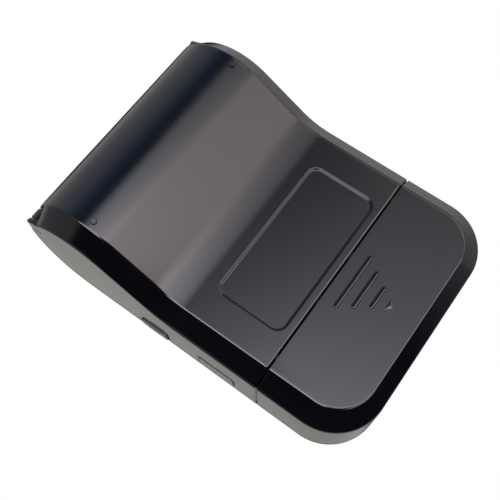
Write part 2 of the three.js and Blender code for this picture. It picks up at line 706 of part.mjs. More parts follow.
function hingeArm(side) {
  const rear = [bayZ, arm.waistZ, arm.topZ].map((z) => [coverRearY(z) - arm.inset, z]);
  const front = rear.slice(1).reverse().map(([y, z]) => [y - arm.width, z]);
  const outline = [
    [hingeY - knuckleRadius, hingeZ], [hingeY + knuckleRadius, hingeZ], ...rear, ...front,
  ];
  const outerX = halfWidth - cheekSkin - gap;
  return join(
    prismX(outline, side * knuckleInnerX, side * outerX),
    rodX(knuckleRadius, side * knuckleInnerX, side * outerX, hingeY, hingeZ, roundSides / 2),
  );
}

function paperCover() {
  const endAngle = cover.endAngleShare * (Math.PI / 2);
  const dome = domeSolid(0, halfWidth, housingEndY + gap, endAngle, 0);
  const slot = block([-slotHalf, slotHalf], [housingEndY, coverFrontY], [0, domeHeight]);
  const band = prismX([
    [cover.skirtStartY, housingBase + gap],
    ...cheekPath(coverSemiY, coverSemiZ, 0, baySteps),
    [caseLength - cover.skirt, 0],
    ...cheekPath(coverSemiY - cover.skirt, coverSemiZ - cover.skirt, 0, baySteps).reverse(),
    [cover.skirtStartY, housingBase - cover.skirt],
  ], -skirtX, skirtX);
  const hollow = domeSolid(cover.wall, skirtX - cover.skirtWall, coverFrontY + cover.wall, 0, domeHeight);
  const openingHalf = platenShaft.endX + 2 * gap;
  const frontOpening = block([-openingHalf, openingHalf],
    [housingEndY, coverFrontY + 2 * cover.wall], [0, platen.z + gearTip(gears.platenTeeth) + gap]);
  const reliefRadius = hingeRelief + gap;
  const relief = join(
    rodX(reliefRadius, -halfWidth, halfWidth, hingeY, hingeZ, roundSides),
    block([-halfWidth, halfWidth], [bayY, caseLength + overrun], [-overrun, hingeZ]),
  );
  const gearRoom = rodX(gearTip(gears.platenTeeth) + gap,
    -(plate.innerX + plate.thickness + gap), -openingHalf, platen.y, platen.z, roundSides);
  const shell = join(dome, band).subtract(join(hollow, slot, frontOpening, gearRoom, relief));
  const pinHoles = mirrored((side) => rodX(hingePinRadius + runClearance,
    side * earOuterX, side * halfWidth, hingeY, hingeZ));
  const bushHoles = mirrored((side) => rodX(bush.radius + runClearance,
    side * (plate.innerX - overrun), side * (plate.innerX + 2 * plate.thickness), platen.y, platen.z));
  return join(shell, mirrored(hingeArm), mirrored(platenEar)).subtract(join(pinHoles, bushHoles));
}
piece('paper_cover', paperCover(), glossBlack);

for (const [name, side] of [['hinge_pin_left', -1], ['hinge_pin_right', 1]]) {
  piece(name, rodX(hingePinRadius, side * (bayWall.x + gap), side * (halfWidth - cheekSkin / 2 - gap),
    hingeY, hingeZ), steel);
}

// Platen: rubber roller on a steel shaft, in two bushes held by the cover's ears
function tube(outer, inner, x0, x1, y, z, sides = roundSides) {
  return prismX(ringOf(outer, sides, [y, z]), x0, x1, [ringOf(inner, sides, [y, z]).reverse()]);
}
piece('platen_roller', tube(platen.radius, platenShaft.radius + runClearance,
  -platen.length / 2, platen.length / 2, platen.y, platen.z), rubberBlack);
piece('platen_shaft', rodX(platenShaft.radius,
  -platenShaft.endX, platenShaft.endX, platen.y, platen.z), steel);
for (const [name, side] of [['platen_bush_left', -1], ['platen_bush_right', 1]]) {
  const inner = plate.innerX - 2 * gap;
  piece(name, tube(bush.radius, platenShaft.radius + runClearance, side * inner, side * (inner + bush.length),
    platen.y, platen.z, smallSides), brass);
}

// Gears. A tooth has a root, a flank through the pitch circle and a tip.
function gearTip(teeth) {
  return (teeth * gearModule) / 2 + tooth.addendum * gearModule;
}

function gearOutline(teeth, centre, toothAngle) {
  const pitch = (teeth * gearModule) / 2;
  const tip = gearTip(teeth);
  const root = pitch - tooth.dedendum * gearModule;
  const step = (2 * Math.PI) / teeth;
  const half = step / 4 - tooth.backlash / (2 * pitch);
  const flank = [[root, 2 * half * tooth.rootShare], [pitch, half], [tip, half * tooth.tipShare]];
  const profile = [...flank.map(([radius, angle]) => [radius, -angle]), ...flank.slice().reverse()];
  const around = (radius, angle) => [
    centre[0] + radius * Math.cos(angle), centre[1] + radius * Math.sin(angle)];
  return Array.from({ length: teeth }, (_, k) => toothAngle + k * step)
    .flatMap((middle) => profile.map(([radius, angle]) => around(radius, middle + angle)));
}

function gear(teeth, bore, x0, x1, centre, toothAngle) {
  return prismX(gearOutline(teeth, centre, toothAngle), x0, x1, [ringOf(bore, smallSides, centre).reverse()]);
}

const motorY = platen.y - motor.ahead;
const smallDistance = (gearModule * (gears.platenTeeth + gears.smallTeeth)) / 2;
const largeDistance = (gearModule * (gears.largeTeeth + gears.pinionTeeth)) / 2;
const platenCentre = [platen.y, platen.z];
const motorCentre = [motorY, motor.z];

// The idler stands where it meshes with both the platen gear and the motor pinion
function idlerPlace() {
  const apart = Math.hypot(platen.y - motorY, platen.z - motor.z);
  const along = (smallDistance ** 2 - largeDistance ** 2 + apart ** 2) / (2 * apart);
  const across = Math.sqrt(Math.max(smallDistance ** 2 - along ** 2, 0));
  const u = [(motorY - platen.y) / apart, (motor.z - platen.z) / apart];
  return [platen.y + u[0] * along - u[1] * across, platen.z + u[1] * along + u[0] * across];
}
const idlerCentre = idlerPlace();
const bearing = (from, to) => Math.atan2(to[1] - from[1], to[0] - from[0]);
const toIdler = bearing(platenCentre, idlerCentre);
const toMotor = bearing(idlerCentre, motorCentre);
const axleRadius = 1;
const largePlaneX = gearPlaneX - gearWidth - gap - gap / 2;

piece('platen_gear', gear(gears.platenTeeth, platenShaft.radius + runClearance, gearPlaneX,
  gearPlaneX - gearWidth + gap / 2, platenCentre, toIdler), whitePlastic);

function idlerGear() {
  const bore = axleRadius + runClearance;
  const small = gear(gears.smallTeeth, bore, gearPlaneX + gap / 2, largePlaneX, idlerCentre,
    toIdler + Math.PI + Math.PI / gears.smallTeeth);
  const large = gear(gears.largeTeeth, bore, largePlaneX, largePlaneX - gearWidth, idlerCentre, toMotor);
  return small.add(large);
}
piece('idler_gear', idlerGear(), whitePlastic);
piece('motor_pinion', gear(gears.pinionTeeth, motor.shaftRadius + runClearance, largePlaneX,
  largePlaneX - gearWidth, motorCentre, toMotor + Math.PI + Math.PI / gears.pinionTeeth), brass);

const gearEndX = largePlaneX - gearWidth - gap;
piece('idler_axle', rodX(axleRadius, -(plate.innerX - gap), gearEndX, ...idlerCentre), steel);
piece('motor_shaft', rodX(motor.shaftRadius, -(plate.innerX - motor.shaftDepth), gearEndX,
  ...motorCentre), steel);
piece('stepper_motor', rodX(motor.radius, -(plate.innerX - gap), -(plate.innerX - gap - motor.length),
  ...motorCentre, roundSides).subtract(rodX(motor.shaftRadius + runClearance, -plate.innerX - overrun,
  -(plate.innerX - motor.shaftDepth - gap), ...motorCentre)), steel);

// Mechanism frame: two side plates, the wall behind the head springs and a foot bar
const footBar = { ahead: 6.6, length: 3.4, thickness: 1.4 };
footBar.startY = platen.y - footBar.ahead;
footBar.endY = footBar.startY + footBar.length;
function mechFrame() {
  const upperY = wallY;
  const seatY = housingEndY + 2 * gap;
  const shoulderZ = platen.z - platen.wallRadius + gap;
  const upper = [
    [upperY, plate.foot], [plate.reach, plate.foot], [plate.reach, shoulderZ - plate.chamfer],
    [plate.reach - plate.chamfer, shoulderZ], [seatY, shoulderZ],
    [seatY, springWall.top], [upperY, springWall.top],
  ];
  const motorSide = motorY - motor.radius - gap;
  const motorPlate = [
    [motorSide, plate.foot], [upperY + overrun, plate.foot], [upperY + overrun, springWall.base],
    [motorSide, springWall.base],
  ];
  const outerX = plate.innerX + plate.thickness;
  const plates = mirrored((side) => prismX(upper, side * plate.innerX, side * outerX));
  const left = prismX(motorPlate, -plate.innerX, -outerX);
  const back = block([-outerX, outerX], [wallY, wallY + springWall.thickness],
    [springWall.base, springWall.top]);
  const bar = block([-outerX, outerX], [footBar.startY, footBar.endY],
    [plate.foot, plate.foot + footBar.thickness]);
  const holes = join(
    rodX(axleRadius + runClearance, -plate.innerX + overrun, -outerX - overrun, ...idlerCentre),
    mirrored((side) => rodX(headPivot.radius + runClearance, side * (plate.innerX - overrun),
      side * (outerX + overrun), ...headPivotCentre)),
    rodX(motor.hole, -plate.innerX + overrun, -outerX - overrun, ...motorCentre),
    mirrored((side) => rodZ(screw.hole, side * mechScrew.x, mechScrew.y, plate.foot - overrun,
      plate.foot + footBar.thickness + overrun)),
  );
  return join(plates, left, back, bar).subtract(holes);
}
piece('mech_frame', mechFrame(), matteBlack);

piece('print_head', block([-head.width / 2, head.width / 2], [headBackY, headBackY + head.thickness],
  [head.base, head.base + head.height]), ceramic);
const sinkPlate = block([-heatsink.width / 2, heatsink.width / 2],
  [sinkBackY, sinkBackY + heatsink.thickness], [heatsink.base, heatsink.base + heatsink.height]);
const sinkPivots = mirrored((side) => rodX(headPivot.radius, side * (heatsink.width / 2 - gap),
  side * headPivot.reach, ...headPivotCentre));
piece('head_heatsink', sinkPlate.add(sinkPivots), aluminium);

// A coil spring as one tube along a helix
class Helix extends THREE.Curve {
  constructor(radius, length, turns, place) {
    super();
    Object.assign(this, { radius, length, turns, place });
  }

  getPoint(t, target = new THREE.Vector3()) {
    const angle = 2 * Math.PI * this.turns * t;
    const [a, b] = [this.radius * Math.cos(angle), this.radius * Math.sin(angle)];
    return target.copy(this.place(a, b, this.length * t));
  }
}

function coil(radius, wire, length, turns, place) {
  const sides = 5;
  const stepsPerTurn = 8;
  const path = new Helix(radius - wire, length - 2 * wire, turns, place);
  const section = new THREE.Shape(ringOf(wire, sides).map(([u, v]) => new THREE.Vector2(u, v)));
  const settings = { steps: Math.round(turns * stepsPerTurn), bevelEnabled: false, extrudePath: path };
  console.log('least gap between the turns of a spring', ((length - 2 * wire) / turns - 2 * wire).toFixed(2));
  return solid(new THREE.ExtrudeGeometry(section, settings));
}

const springBackY = wallY + springWall.thickness + gap;
for (const [name, side] of [['head_spring_left', -1], ['head_spring_right', 1]]) {
  piece(name, coil(headSpring.radius, headSpring.wire, headSpring.length, headSpring.turns,
    (a, b, along) => new THREE.Vector3(side * headSpring.x + a, springBackY + headSpring.wire + along,
      headSpring.z + b)), steel);
}

// Flat cable from the head to the underside of the board
const flex = { half: 12, thickness: 0.3, landing: 3.5 };
function headFlex() {
  const top = [
    [sinkBackY - gap, heatsink.base + 3 * gap], [wallY + springWall.thickness, springWall.base - 3 * gap],
    [boardEndY, board.base - gap], [boardEndY - flex.landing, board.base - gap],
  ];
  const under = top.map(([y, z]) => [y, z - flex.thickness]).reverse();
  return prismX([...top, ...under], -flex.half, flex.half);
}
piece('head_flex', headFlex(), amberFilm);

// Paper guide from the bay up to the head, and the paper sensor in front of it
const guide = { thickness: 1.1, fromPlaten: [[-2.6, -6.1], [-2, -9.5], [-0.5, -13.5], [2.8, -17.5]] };
guide.points = guide.fromPlaten.map(([behind, above]) => [platen.y + behind, platen.z + above]);
piece('paper_guide', prismX([...guide.points,
  ...guide.points.map(([y, z]) => [y + guide.thickness, z]).reverse()],
-(plate.innerX - gap), plate.innerX - gap), matteBlack);
const sensor = { x: 8, width: 4, thickness: 1.7, base: 8.8, height: 2.6 };
piece('paper_sensor', block([sensor.x, sensor.x + sensor.width],
  [guide.points[1][0] - gap - sensor.thickness, guide.points[1][0] - gap],
  [sensor.base, sensor.base + sensor.height]), chipBlack);

// Tear bar with a saw edge along the paper slot
function tearBar() {
  const half = tear.width / 2;
  const top = tear.base + tear.height;
  const count = Math.floor(tear.width / tear.tooth);
  const points = [[-half, tear.base], [half, tear.base], [half, top]];
  for (let k = 0; k < count; k += 1) {
    const x = half - tear.tooth * k;
    points.push([x - tear.tooth / 2, top + tear.toothDepth], [x - tear.tooth, top]);
  }
  const edge = count * tear.tooth < tear.width ? [[-half, top]] : [];
  const geometry = new THREE.ExtrudeGeometry(shapeOf([...points, ...edge]),
    { depth: tear.thickness, bevelEnabled: false });
  geometry.rotateX(Math.PI / 2);
  geometry.translate(0, tearY + tear.thickness, 0);
  return solid(geometry);
}
piece('tear_bar', tearBar(), steel);

function mainBoard() {
  const ear = [socketY - socket.width / 2 - gap, socketY + socket.width / 2 + gap];
  const outline = [
    [-board.half, board.startY], [board.half, board.startY], [board.half, ear[0]], [board.earX, ear[0]],
    [board.earX, ear[1]], [board.half, ear[1]], [board.half, boardEndY], [-board.half, boardEndY],
  ];
  const holes = [-1, 1].map((side) => ringOf(
    screw.hole, smallSides, [side * boardPost.x, boardPost.y]).reverse());
  return prismZ(outline, board.base, boardTop, holes);
}
piece('main_board', mainBoard(), boardGreen);
// A flat part on the board, placed from the board's rear edge
function boardPart({ x, ahead, length, height }) {
  return block(x, [boardEndY - ahead, boardEndY - ahead + length], [partBase, partBase + height]);
}
const radio = { inset: 4, width: 16, ahead: 14.5, length: 12, height: 2.2 };
radio.x = [radio.inset - board.half, radio.inset - board.half + radio.width];
piece('wireless_module', boardPart(radio), steel);
const chip = { x: [0, 9], ahead: 14, length: 9, height: 1.2 };
piece('controller_chip', boardPart(chip), chipBlack);
const capacitor = { inset: 10, ahead: 7.5, radius: 3.2, height: 4.6 };
capacitor.x = board.half - capacitor.inset;
piece('buffer_capacitor', rodZ(capacitor.radius, capacitor.x, boardEndY - capacitor.ahead,
  partBase, partBase + capacitor.height), aluminium);

function usbSocket() {
  const [y0, y1] = [socketY - socket.width / 2, socketY + socket.width / 2];
  const base = socket.top - socket.height;
  const can = block([socket.innerX, socket.mouthX], [y0, y1], [base, socket.top]);
  const mouth = block([socket.mouthX - socket.mouthDepth, socket.mouthX + overrun],
    [y0 + socket.wall, y1 - socket.wall], [base + socket.wall, socket.top - socket.wall]);
  const middle = (base + socket.top) / 2;
  const tongue = block([socket.innerX + gap, socket.mouthX - 2 * gap],
    [y0 + 4 * socket.wall, y1 - 4 * socket.wall], [middle - socket.wall, middle + socket.wall]);
  return can.subtract(mouth).add(tongue);
}
piece('usb_socket', usbSocket(), steel);

// Port cover: a rubber flap in a shallow recess, hinged along its lower edge
function portCover() {
  const plug = { length: 6, height: 1.4, reach: 1.1 };
  const middle = socket.top - socket.height / 2;
  const flap = block([halfWidth - port.depth + gap / 2, halfWidth + port.proud],
    [port.startY, port.startY + port.length], [port.base, port.base + port.height]);
  const boss = block([halfWidth - port.depth - plug.reach, halfWidth - port.depth + gap],
    [socketY - plug.length / 2, socketY + plug.length / 2],
    [middle - plug.height / 2, middle + plug.height / 2]);
  return flap.add(boss);
}
piece('port_cover', portCover(), rubberBlack);

// Release button: a key in the right side wall whose wedge lifts the platen shaft's end
const wedge = { reach: 2.2, length: 3, under: 3.9, height: 2.1 };
wedge.x = [platenShaft.endX, platenShaft.endX + wedge.reach];
wedge.base = platen.z - wedge.under;
wedge.top = wedge.base + wedge.height;
const flange = { thickness: 1.3, over: 1, under: 8.1, above: 2.5 };
flange.x = [innerHalf - gap - flange.thickness, innerHalf - gap];
flange.base = platen.z - flange.under;
flange.top = platen.z + flange.above;
const releaseSpring = { ahead: 4.4, under: 6.3, radius: 1.4, wire: 0.2, turns: 2 };
releaseSpring.y = platen.y - releaseSpring.ahead;
releaseSpring.z = platen.z - releaseSpring.under;
function releaseButton() {
  const [y0, y1] = [button.y - button.length / 2, button.y + button.length / 2];
  const key = block([flange.x[0] + gap, halfWidth + button.proud], [y0, y1],
    [button.base, button.base + button.height]);
  const stop = block(flange.x, [y0 - flange.over, y1 + flange.over], [flange.base, flange.top]);
  const lift = block(wedge.x, [platen.y - wedge.length / 2, platen.y + wedge.length / 2],
    [wedge.base, wedge.top]);
  return join(key, stop, lift);
}
piece('release_button', releaseButton(), glossBlack);
const springSeatX = plate.innerX + plate.thickness + gap;
piece('release_spring', coil(releaseSpring.radius, releaseSpring.wire,
  flange.x[0] - button.travel - gap - springSeatX, releaseSpring.turns,
  (a, b, along) => new THREE.Vector3(springSeatX + releaseSpring.wire + along, releaseSpring.y + a,
    releaseSpring.z + b)), steel);

// Battery pack and its two contacts
const cell = { side: 0.4, ahead: 0.3, fromSeam: 1.7, base: 2.2, above: 0.4, radius: 3 };
cell.half = tray.bayHalf - cell.side;
cell.startY = trayFront.y + tray.side + cell.ahead;
cell.endY = seamY - cell.fromSeam;
cell.top = tray.ceiling - cell.above;
function batteryPack() {
  const outline = roundedRectangle([cell.startY, cell.endY], [cell.base, cell.top], cell.radius);
  return prismX(outline, -cell.half, cell.half);
}
piece('battery_pack', batteryPack(), cellWrap);
const contact = { x: 8, half: 1.5, thickness: 0.4, base: 5, top: 14, noseRadius: 0.8 };
for (const [name, side] of [['battery_contact_left', -1], ['battery_contact_right', 1]]) {
  const x = side * contact.x;
  const backY = shellStartY - gap;
  const strip = block([x - contact.half, x + contact.half], [backY - contact.thickness, backY],
    [contact.base, contact.top]);
  const nose = rodX(contact.noseRadius, x - contact.half, x + contact.half, backY - contact.thickness,
    (contact.base + contact.top) / 2);
  piece(name, strip.add(nose.intersect(block([x - contact.half, x + contact.half],
    [cell.endY, backY], [contact.base, contact.top]))), brass);
}

// Paper roll on its core, lying in the bay
const rollY = bayY - gap / 2;
const rollZ = bayZ + gap;
piece('paper_roll', tube(paper.radius, paper.coreRadius + runClearance, -paper.width / 2, paper.width / 2,
  rollY, rollZ), paperWhite);
piece('roll_core', tube(paper.coreRadius, paper.coreRadius - paper.coreThickness, -paper.width / 2,
  paper.width / 2, rollY, rollZ), cardboard);

// Screws
function screwBody(x, y, seat, toward, length) {
  const ends = (from, to) => [Math.min(from, to), Math.max(from, to)];
  const headPart = rodZ(screw.headRadius, x, y, ...ends(seat, seat - toward * screw.headHeight));
  const shank = rodZ(screw.radius, x, y, ...ends(seat - toward * gap, seat + toward * length));
  return headPart.add(shank);
}
const caseScrewLength = 6.5;
[-1, 1].forEach((side) => caseScrewYs.forEach((y, k) => {
  const number = (side < 0 ? 1 : 3) + k;
  const body = screwBody(side * caseScrewX, y, tray.ceiling - gap, 1, caseScrewLength);
  piece(`case_screw_${number}`, body, steel);
}));
const barTop = plate.foot + footBar.thickness;
[-1, 1].forEach((side, k) => piece(`mech_screw_${k + 1}`, screwBody(side * mechScrew.x, mechScrew.y,
  barTop + gap, -1, barTop + gap - mechScrew.shankBase), steel));
const boardScrewLength = 1.6;
[-1, 1].forEach((side, k) => piece(`board_screw_${k + 1}`, screwBody(side * boardPost.x, boardPost.y,
  boardTop + gap, -1, boardScrewLength - gap), steel));

// Lay the case on its back and put the origin under the middle of it
lying.rotation.x = restTilt;
lying.updateMatrixWorld(true);
const bounds = new THREE.Box3().setFromObject(lying, true);
lying.position.set(-(bounds.min.x + bounds.max.x) / 2, -(bounds.min.y + bounds.max.y) / 2, -bounds.min.z);

const printer = new THREE.Group();
printer.add(lying);
export default printer;
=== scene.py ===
"""Looks of a portable ticket printer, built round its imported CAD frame.

Sizes are millimetres in the case frame: x to the right, y from the battery end to the roll end, z up from
the flat underside. PLACE carries them to the row frame, in metres, where the printer lies on its back, tipped
a little by the two nubs under its paper bay. The camera looks up at the underside, as in the photograph.
"""

import json
from math import asin, atan2, cos, hypot, pi, radians, sin, sqrt, tan

import bpy
from mathutils import Matrix, Vector


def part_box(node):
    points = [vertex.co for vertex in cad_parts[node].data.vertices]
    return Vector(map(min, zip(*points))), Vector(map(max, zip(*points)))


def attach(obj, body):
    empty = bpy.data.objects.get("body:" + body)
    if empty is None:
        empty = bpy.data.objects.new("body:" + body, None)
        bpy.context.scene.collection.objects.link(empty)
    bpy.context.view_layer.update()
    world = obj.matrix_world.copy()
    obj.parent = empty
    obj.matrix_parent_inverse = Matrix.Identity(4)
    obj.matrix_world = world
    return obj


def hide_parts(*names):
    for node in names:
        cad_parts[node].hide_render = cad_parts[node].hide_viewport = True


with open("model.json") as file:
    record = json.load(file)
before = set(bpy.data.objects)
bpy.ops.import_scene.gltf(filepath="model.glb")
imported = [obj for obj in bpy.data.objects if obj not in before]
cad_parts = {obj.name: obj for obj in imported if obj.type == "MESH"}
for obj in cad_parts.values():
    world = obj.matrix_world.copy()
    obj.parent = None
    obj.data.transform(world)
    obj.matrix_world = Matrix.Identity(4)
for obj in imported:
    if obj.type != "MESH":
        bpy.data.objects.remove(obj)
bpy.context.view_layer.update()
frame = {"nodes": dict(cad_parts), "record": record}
nodes = frame["nodes"]


class Sizes:
    """The named sizes of one feature."""

    def __init__(self, **sizes):
        for name, size in sizes.items():
            setattr(self, name, size)


# Case sizes, as in the part's source
CASE_WIDTH = 76
BULGE_DEPTH = 13.2
BAY_RADIUS = 19
SWEEP_RADIUS = 20.5
SLOPE = radians(30)
SIDE_TOP = 24.3
FACE_Z = 29.5
DOME_Z = 33.8
WALL = 1.8
GAP = 0.3
CLEARANCE = 0.15
OVERRUN = 2
BEVEL_RUN = 5.5
BEVEL_RISE = 5.1
END_RUN = 4.2
CORNER_RADIUS = 15
CREASE_RADIUS = 11
SHOULDER_RUN = 12
SHOULDER_POWER = 2.4
CHEEK_POWER = 2.7
SEAM_Y = 29.5
FLAT_LENGTH = 27.25
TIP_RUN = 4.7
TIP_Z = 0.1
HINGE_INSET = 3.6
HINGE_Z = 1.6
KNUCKLE = 3.3
PIN_RADIUS = 1
HINGE_RELIEF = 4.2
KNUCKLE_X = 33.2
CHEEK_SKIN = 1.3
NOTCH_LENGTH = 4.9
ARM_LENGTH = 7.7
EAR_OUTER_X = 32.9
SHAFT = Sizes(radius=1.5, end_x=32.7)
BUSH_RADIUS = 3
SLOT_WIDTH = 1.7
TEAR = Sizes(thickness=0.6, width=58)
PLATE = Sizes(inner_x=29.6, thickness=1.3)
SPRING_TOP = 25.4
GEAR_TIP = 4.9
GEAR_ROOM = GEAR_TIP + GAP

SIDE_X = CASE_WIDTH / 2
HALF_FLAT = SIDE_X - BEVEL_RUN
WALL_X = SIDE_X - WALL
SLOPE_FALL = BULGE_DEPTH - (BAY_RADIUS + SWEEP_RADIUS) * (1 - cos(SLOPE))
SLOPE_RUN = SLOPE_FALL / tan(SLOPE)
BAY_Y = SEAM_Y + FLAT_LENGTH + (SWEEP_RADIUS + BAY_RADIUS) * sin(SLOPE) + SLOPE_RUN
BAY_Z = BAY_RADIUS - BULGE_DEPTH
CASE_LENGTH = BAY_Y + BAY_RADIUS
HINGE_Y = CASE_LENGTH - HINGE_INSET
PLATEN = Sizes(y=BAY_Y - 21.8, z=21.5, radius=4.4, length=57.2, wall_radius=4.5, edge=0.35)
COVER_Y = PLATEN.y - PLATEN.radius
TEAR_Y = COVER_Y - SLOT_WIDTH - TEAR.thickness
HOUSING_Y = TEAR_Y - GAP
HOUSING_Z = SIDE_TOP + GAP
SHELL_Y = SEAM_Y + GAP / 2
DOOR_Y = SEAM_Y - GAP / 2
SKIN_X = SIDE_X - CHEEK_SKIN
INSIDE_X = WALL_X - GAP
PLATE_REACH = PLATE.inner_x + PLATE.thickness + GAP
PAST_END_Y = CASE_LENGTH + OVERRUN
THROUGH_WALL = (WALL_X - OVERRUN, SIDE_X + OVERRUN)
BELOW_Z = -BULGE_DEPTH - OVERRUN

# Edge roundings and mesh steps
CREASE_EASE = 0.5
SIDE_EASE = 0.8
EDGE = 0.25
PROUD = 0.05
EASE_STEPS = 6
EASE_LIMIT = 0.45
ARC_STEPS = 15
BAY_STEPS = 60
CORNER_STEPS = 24
SHOULDER_STEPS = 16
ROUND_SIDES = 96
KNUCKLE_SIDES = 64
SMALL_SIDES = 32
QUARTER = pi / 2

# Row frame: the hinge pins give the place, and the nubs under the bay the tilt
NUB = Sizes(radius=0.9, height=0.5, x=30.3, edge=0.15)
NUB_REACH = BAY_RADIUS + NUB.height
TO_BAY = hypot(BAY_Y - END_RUN, BAY_Z)
TILT = asin(NUB_REACH / TO_BAY) - atan2(BAY_Z, BAY_Y - END_RUN)
TIP = Matrix.Rotation(TILT, 4, "X")
MILLIMETRE = 0.001
PINS = (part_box("hinge_pin_left")[0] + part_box("hinge_pin_right")[1]) / 2
TO_HINGE = Matrix.Translation((0, -HINGE_Y, -HINGE_Z))
PLACE = Matrix.Translation(PINS) @ TIP @ Matrix.Scale(MILLIMETRE, 4) @ TO_HINGE


def placed(name, data):
    made = bpy.data.objects.new(name, data)
    bpy.context.scene.collection.objects.link(made)
    return made


# Geometry kit: each solid is a closed mesh object in case millimetres
def solid(points, faces):
    at = [Vector(p) for p in points]
    volume = sum(at[f[0]].dot(at[f[k]].cross(at[f[k + 1]])) for f in faces for k in range(1, len(f) - 1))
    if volume < 0:
        faces = [tuple(reversed(f)) for f in faces]
    mesh = bpy.data.meshes.new("solid")
    mesh.from_pydata(points, [], faces)
    return placed("solid", mesh)


def loft(rings):
    count = len(rings[0])
    last = (len(rings) - 1) * count
    faces = [(at + k, at + (k + 1) % count, at + (k + 1) % count + count, at + k + count)
             for at in range(0, last, count) for k in range(count)]
    faces += [tuple(range(count))[::-1], tuple(range(last, last + count))]
    return solid([p for ring in rings for p in ring], faces)


def combine(base, others, operation):
    for other in others:
        made = base.modifiers.new(operation, "BOOLEAN")
        made.operation, made.solver, made.object = operation, "MANIFOLD", other
    graph = bpy.context.evaluated_depsgraph_get()
    mesh = bpy.data.meshes.new_from_object(base.evaluated_get(graph))
    for used in (base, *others):
        data = used.data
        bpy.data.objects.remove(used)
        bpy.data.meshes.remove(data)
    return placed("solid", mesh)


def join(*bodies):
    return combine(bodies[0], bodies[1:], "UNION") if len(bodies) > 1 else bodies[0]


def cut(base, *tools):
    return combine(base, tools, "DIFFERENCE")


def keep(base, *tools):
    return combine(base, tools, "INTERSECT")


def mirrored(build):
    return join(build(1), build(-1))


def block(x, y, z):
    (x0, x1), (y0, y1) = sorted(x), y
    return prism_z([(x0, y0), (x1, y0), (x1, y1), (x0, y1)], *z)


def levelled(outline, z):
    return [(x, y, z) for x, y in outline]


def upright(outline, x):
    return [(x, y, z) for y, z in outline]


def prism_x(outline, x0, x1):
    return loft([upright(outline, x) for x in sorted((x0, x1))])


def prism_z(outline, z0, z1):
    return loft([levelled(outline, z) for z in (z0, z1)])


def fan(last, steps):
    return [last * k / steps for k in range(steps + 1)]


def on_circle(centre, radius, angles):
    return [(centre[0] + radius * cos(a), centre[1] + radius * sin(a)) for a in angles]


def ring_of(radius, sides, centre):
    return on_circle(centre, radius, [2 * pi / sides * k for k in range(sides)])


def turned_x(profile, y, z, sides):
    """A round piece along x through (x, radius) pairs."""
    return loft([upright(ring_of(radius, sides, (y, z)), x) for x, radius in profile])


def turned_z(profile, x, y):
    """A round piece along z through (z, radius) pairs."""
    return loft([levelled(ring_of(radius, SMALL_SIDES, (x, y)), z) for z, radius in profile])


def rod_x(radius, x0, x1, y, z, sides=SMALL_SIDES):
    return turned_x([(x, radius) for x in sorted((x0, x1))], y, z, sides)


def rod_z(radius, x, y, z0, z1):
    return turned_z([(z0, radius), (z1, radius)], x, y)


def blocks(x, y, z):
    return mirrored(lambda side: block((side * x[0], side * x[1]), y, z))


def rods_x(radius, x0, x1, y, z):
    return mirrored(lambda side: rod_x(radius, side * x0, side * x1, y, z))


def rods_z(radius, x, y, z0, z1):
    return mirrored(lambda side: rod_z(radius, side * x, y, z0, z1))


def span(start, length, gap=0):
    return start - gap, start + length + gap


def about(centre, width, gap=0):
    return centre - width / 2 - gap, centre + width / 2 + gap


def arc(centre, radius, start, end, steps):
    return on_circle(centre, radius, [start + (end - start) * k / steps for k in range(steps + 1)])


def round_oblong(x, y, radius, steps=6):
    (x0, x1), (y0, y1) = x, y
    corners = ((x1 - radius, y0 + radius), (x1 - radius, y1 - radius), (x0 + radius, y1 - radius),
               (x0 + radius, y0 + radius))
    return [point for k, corner in enumerate(corners)
            for point in arc(corner, radius, (k - 1) * QUARTER, k * QUARTER, steps)]


def grown(x, y, radius, steps=6, follow=1):
    """A rounded rectangle by how far it is set out, which its corner radius can follow."""
    return lambda out: round_oblong((x[0] - out, x[1] + out), (y[0] - out, y[1] + out),
                                         radius + out * follow, steps)


def stadium(half_length, radius, centre, steps=16):
    side = half_length - radius
    x, y = centre
    return [
        *arc((x + side, y), radius, -QUARTER, QUARTER, steps),
        *arc((x - side, y), radius, QUARTER, 3 * QUARTER, steps),
    ]


def ease(corners, reaches):
    """The outline with each corner turned into a curve that begins and ends its reach away."""
    path = []
    for k, corner in enumerate(corners):
        if k not in reaches:
            path.append(tuple(corner))
            continue
        here = Vector(corner)
        before, after = Vector(corners[k - 1]) - here, Vector(corners[(k + 1) % len(corners)]) - here
        start, end = [here + way.normalized() * min(reaches[k], way.length * EASE_LIMIT)
                      for way in (before, after)]
        for s in range(EASE_STEPS + 1):
            t = s / EASE_STEPS
            path.append(tuple(start * (1 - t) ** 2 + here * 2 * t * (1 - t) + end * t**2))
    return path


def edge_profile(size, steps):
    """The rounded end of a bar: how far it has run, and how far its outline is set in."""
    return [(size * (1 - cos(a)), size * (1 - sin(a))) for a in fan(QUARTER, steps)]


def soft_chamfer(run, first, last, steps):
    """A bar's end that falls away: its tilt grows from last to first, in degrees."""
    points, inset = [(run, 0)], 0
    for k in range(steps):
        tilt = radians(last + (first - last) * (k + 0.5) / steps)
        inset += run / steps * tan(tilt)
        points.append((run * (1 - (k + 1) / steps), inset))
    return points[::-1]


def mouth(deep, face):
    """The (outward, height) steps of an opening whose edge is eased where it meets a face."""
    return [(0, deep), (0, face - EDGE), (EDGE * 0.3, face - EDGE * 0.3), (EDGE * 1.2, face + PROUD),
            (EDGE * 1.2, face + OVERRUN)]


def end_stations(end_y):
    """Where a bounding bar along y is cut, and how far it is set in there, up to its soft end."""
    return [(-OVERRUN, -PROUD), (end_y - 2 * EDGE, -PROUD),
            *[(end_y - run, inset) for run, inset in reversed(EDGE_PROFILE)], (end_y + PROUD, EDGE)]


EDGE_PROFILE = edge_profile(EDGE, 4)
SEAM_PROFILE = soft_chamfer(0.6, 48, 22, 7)


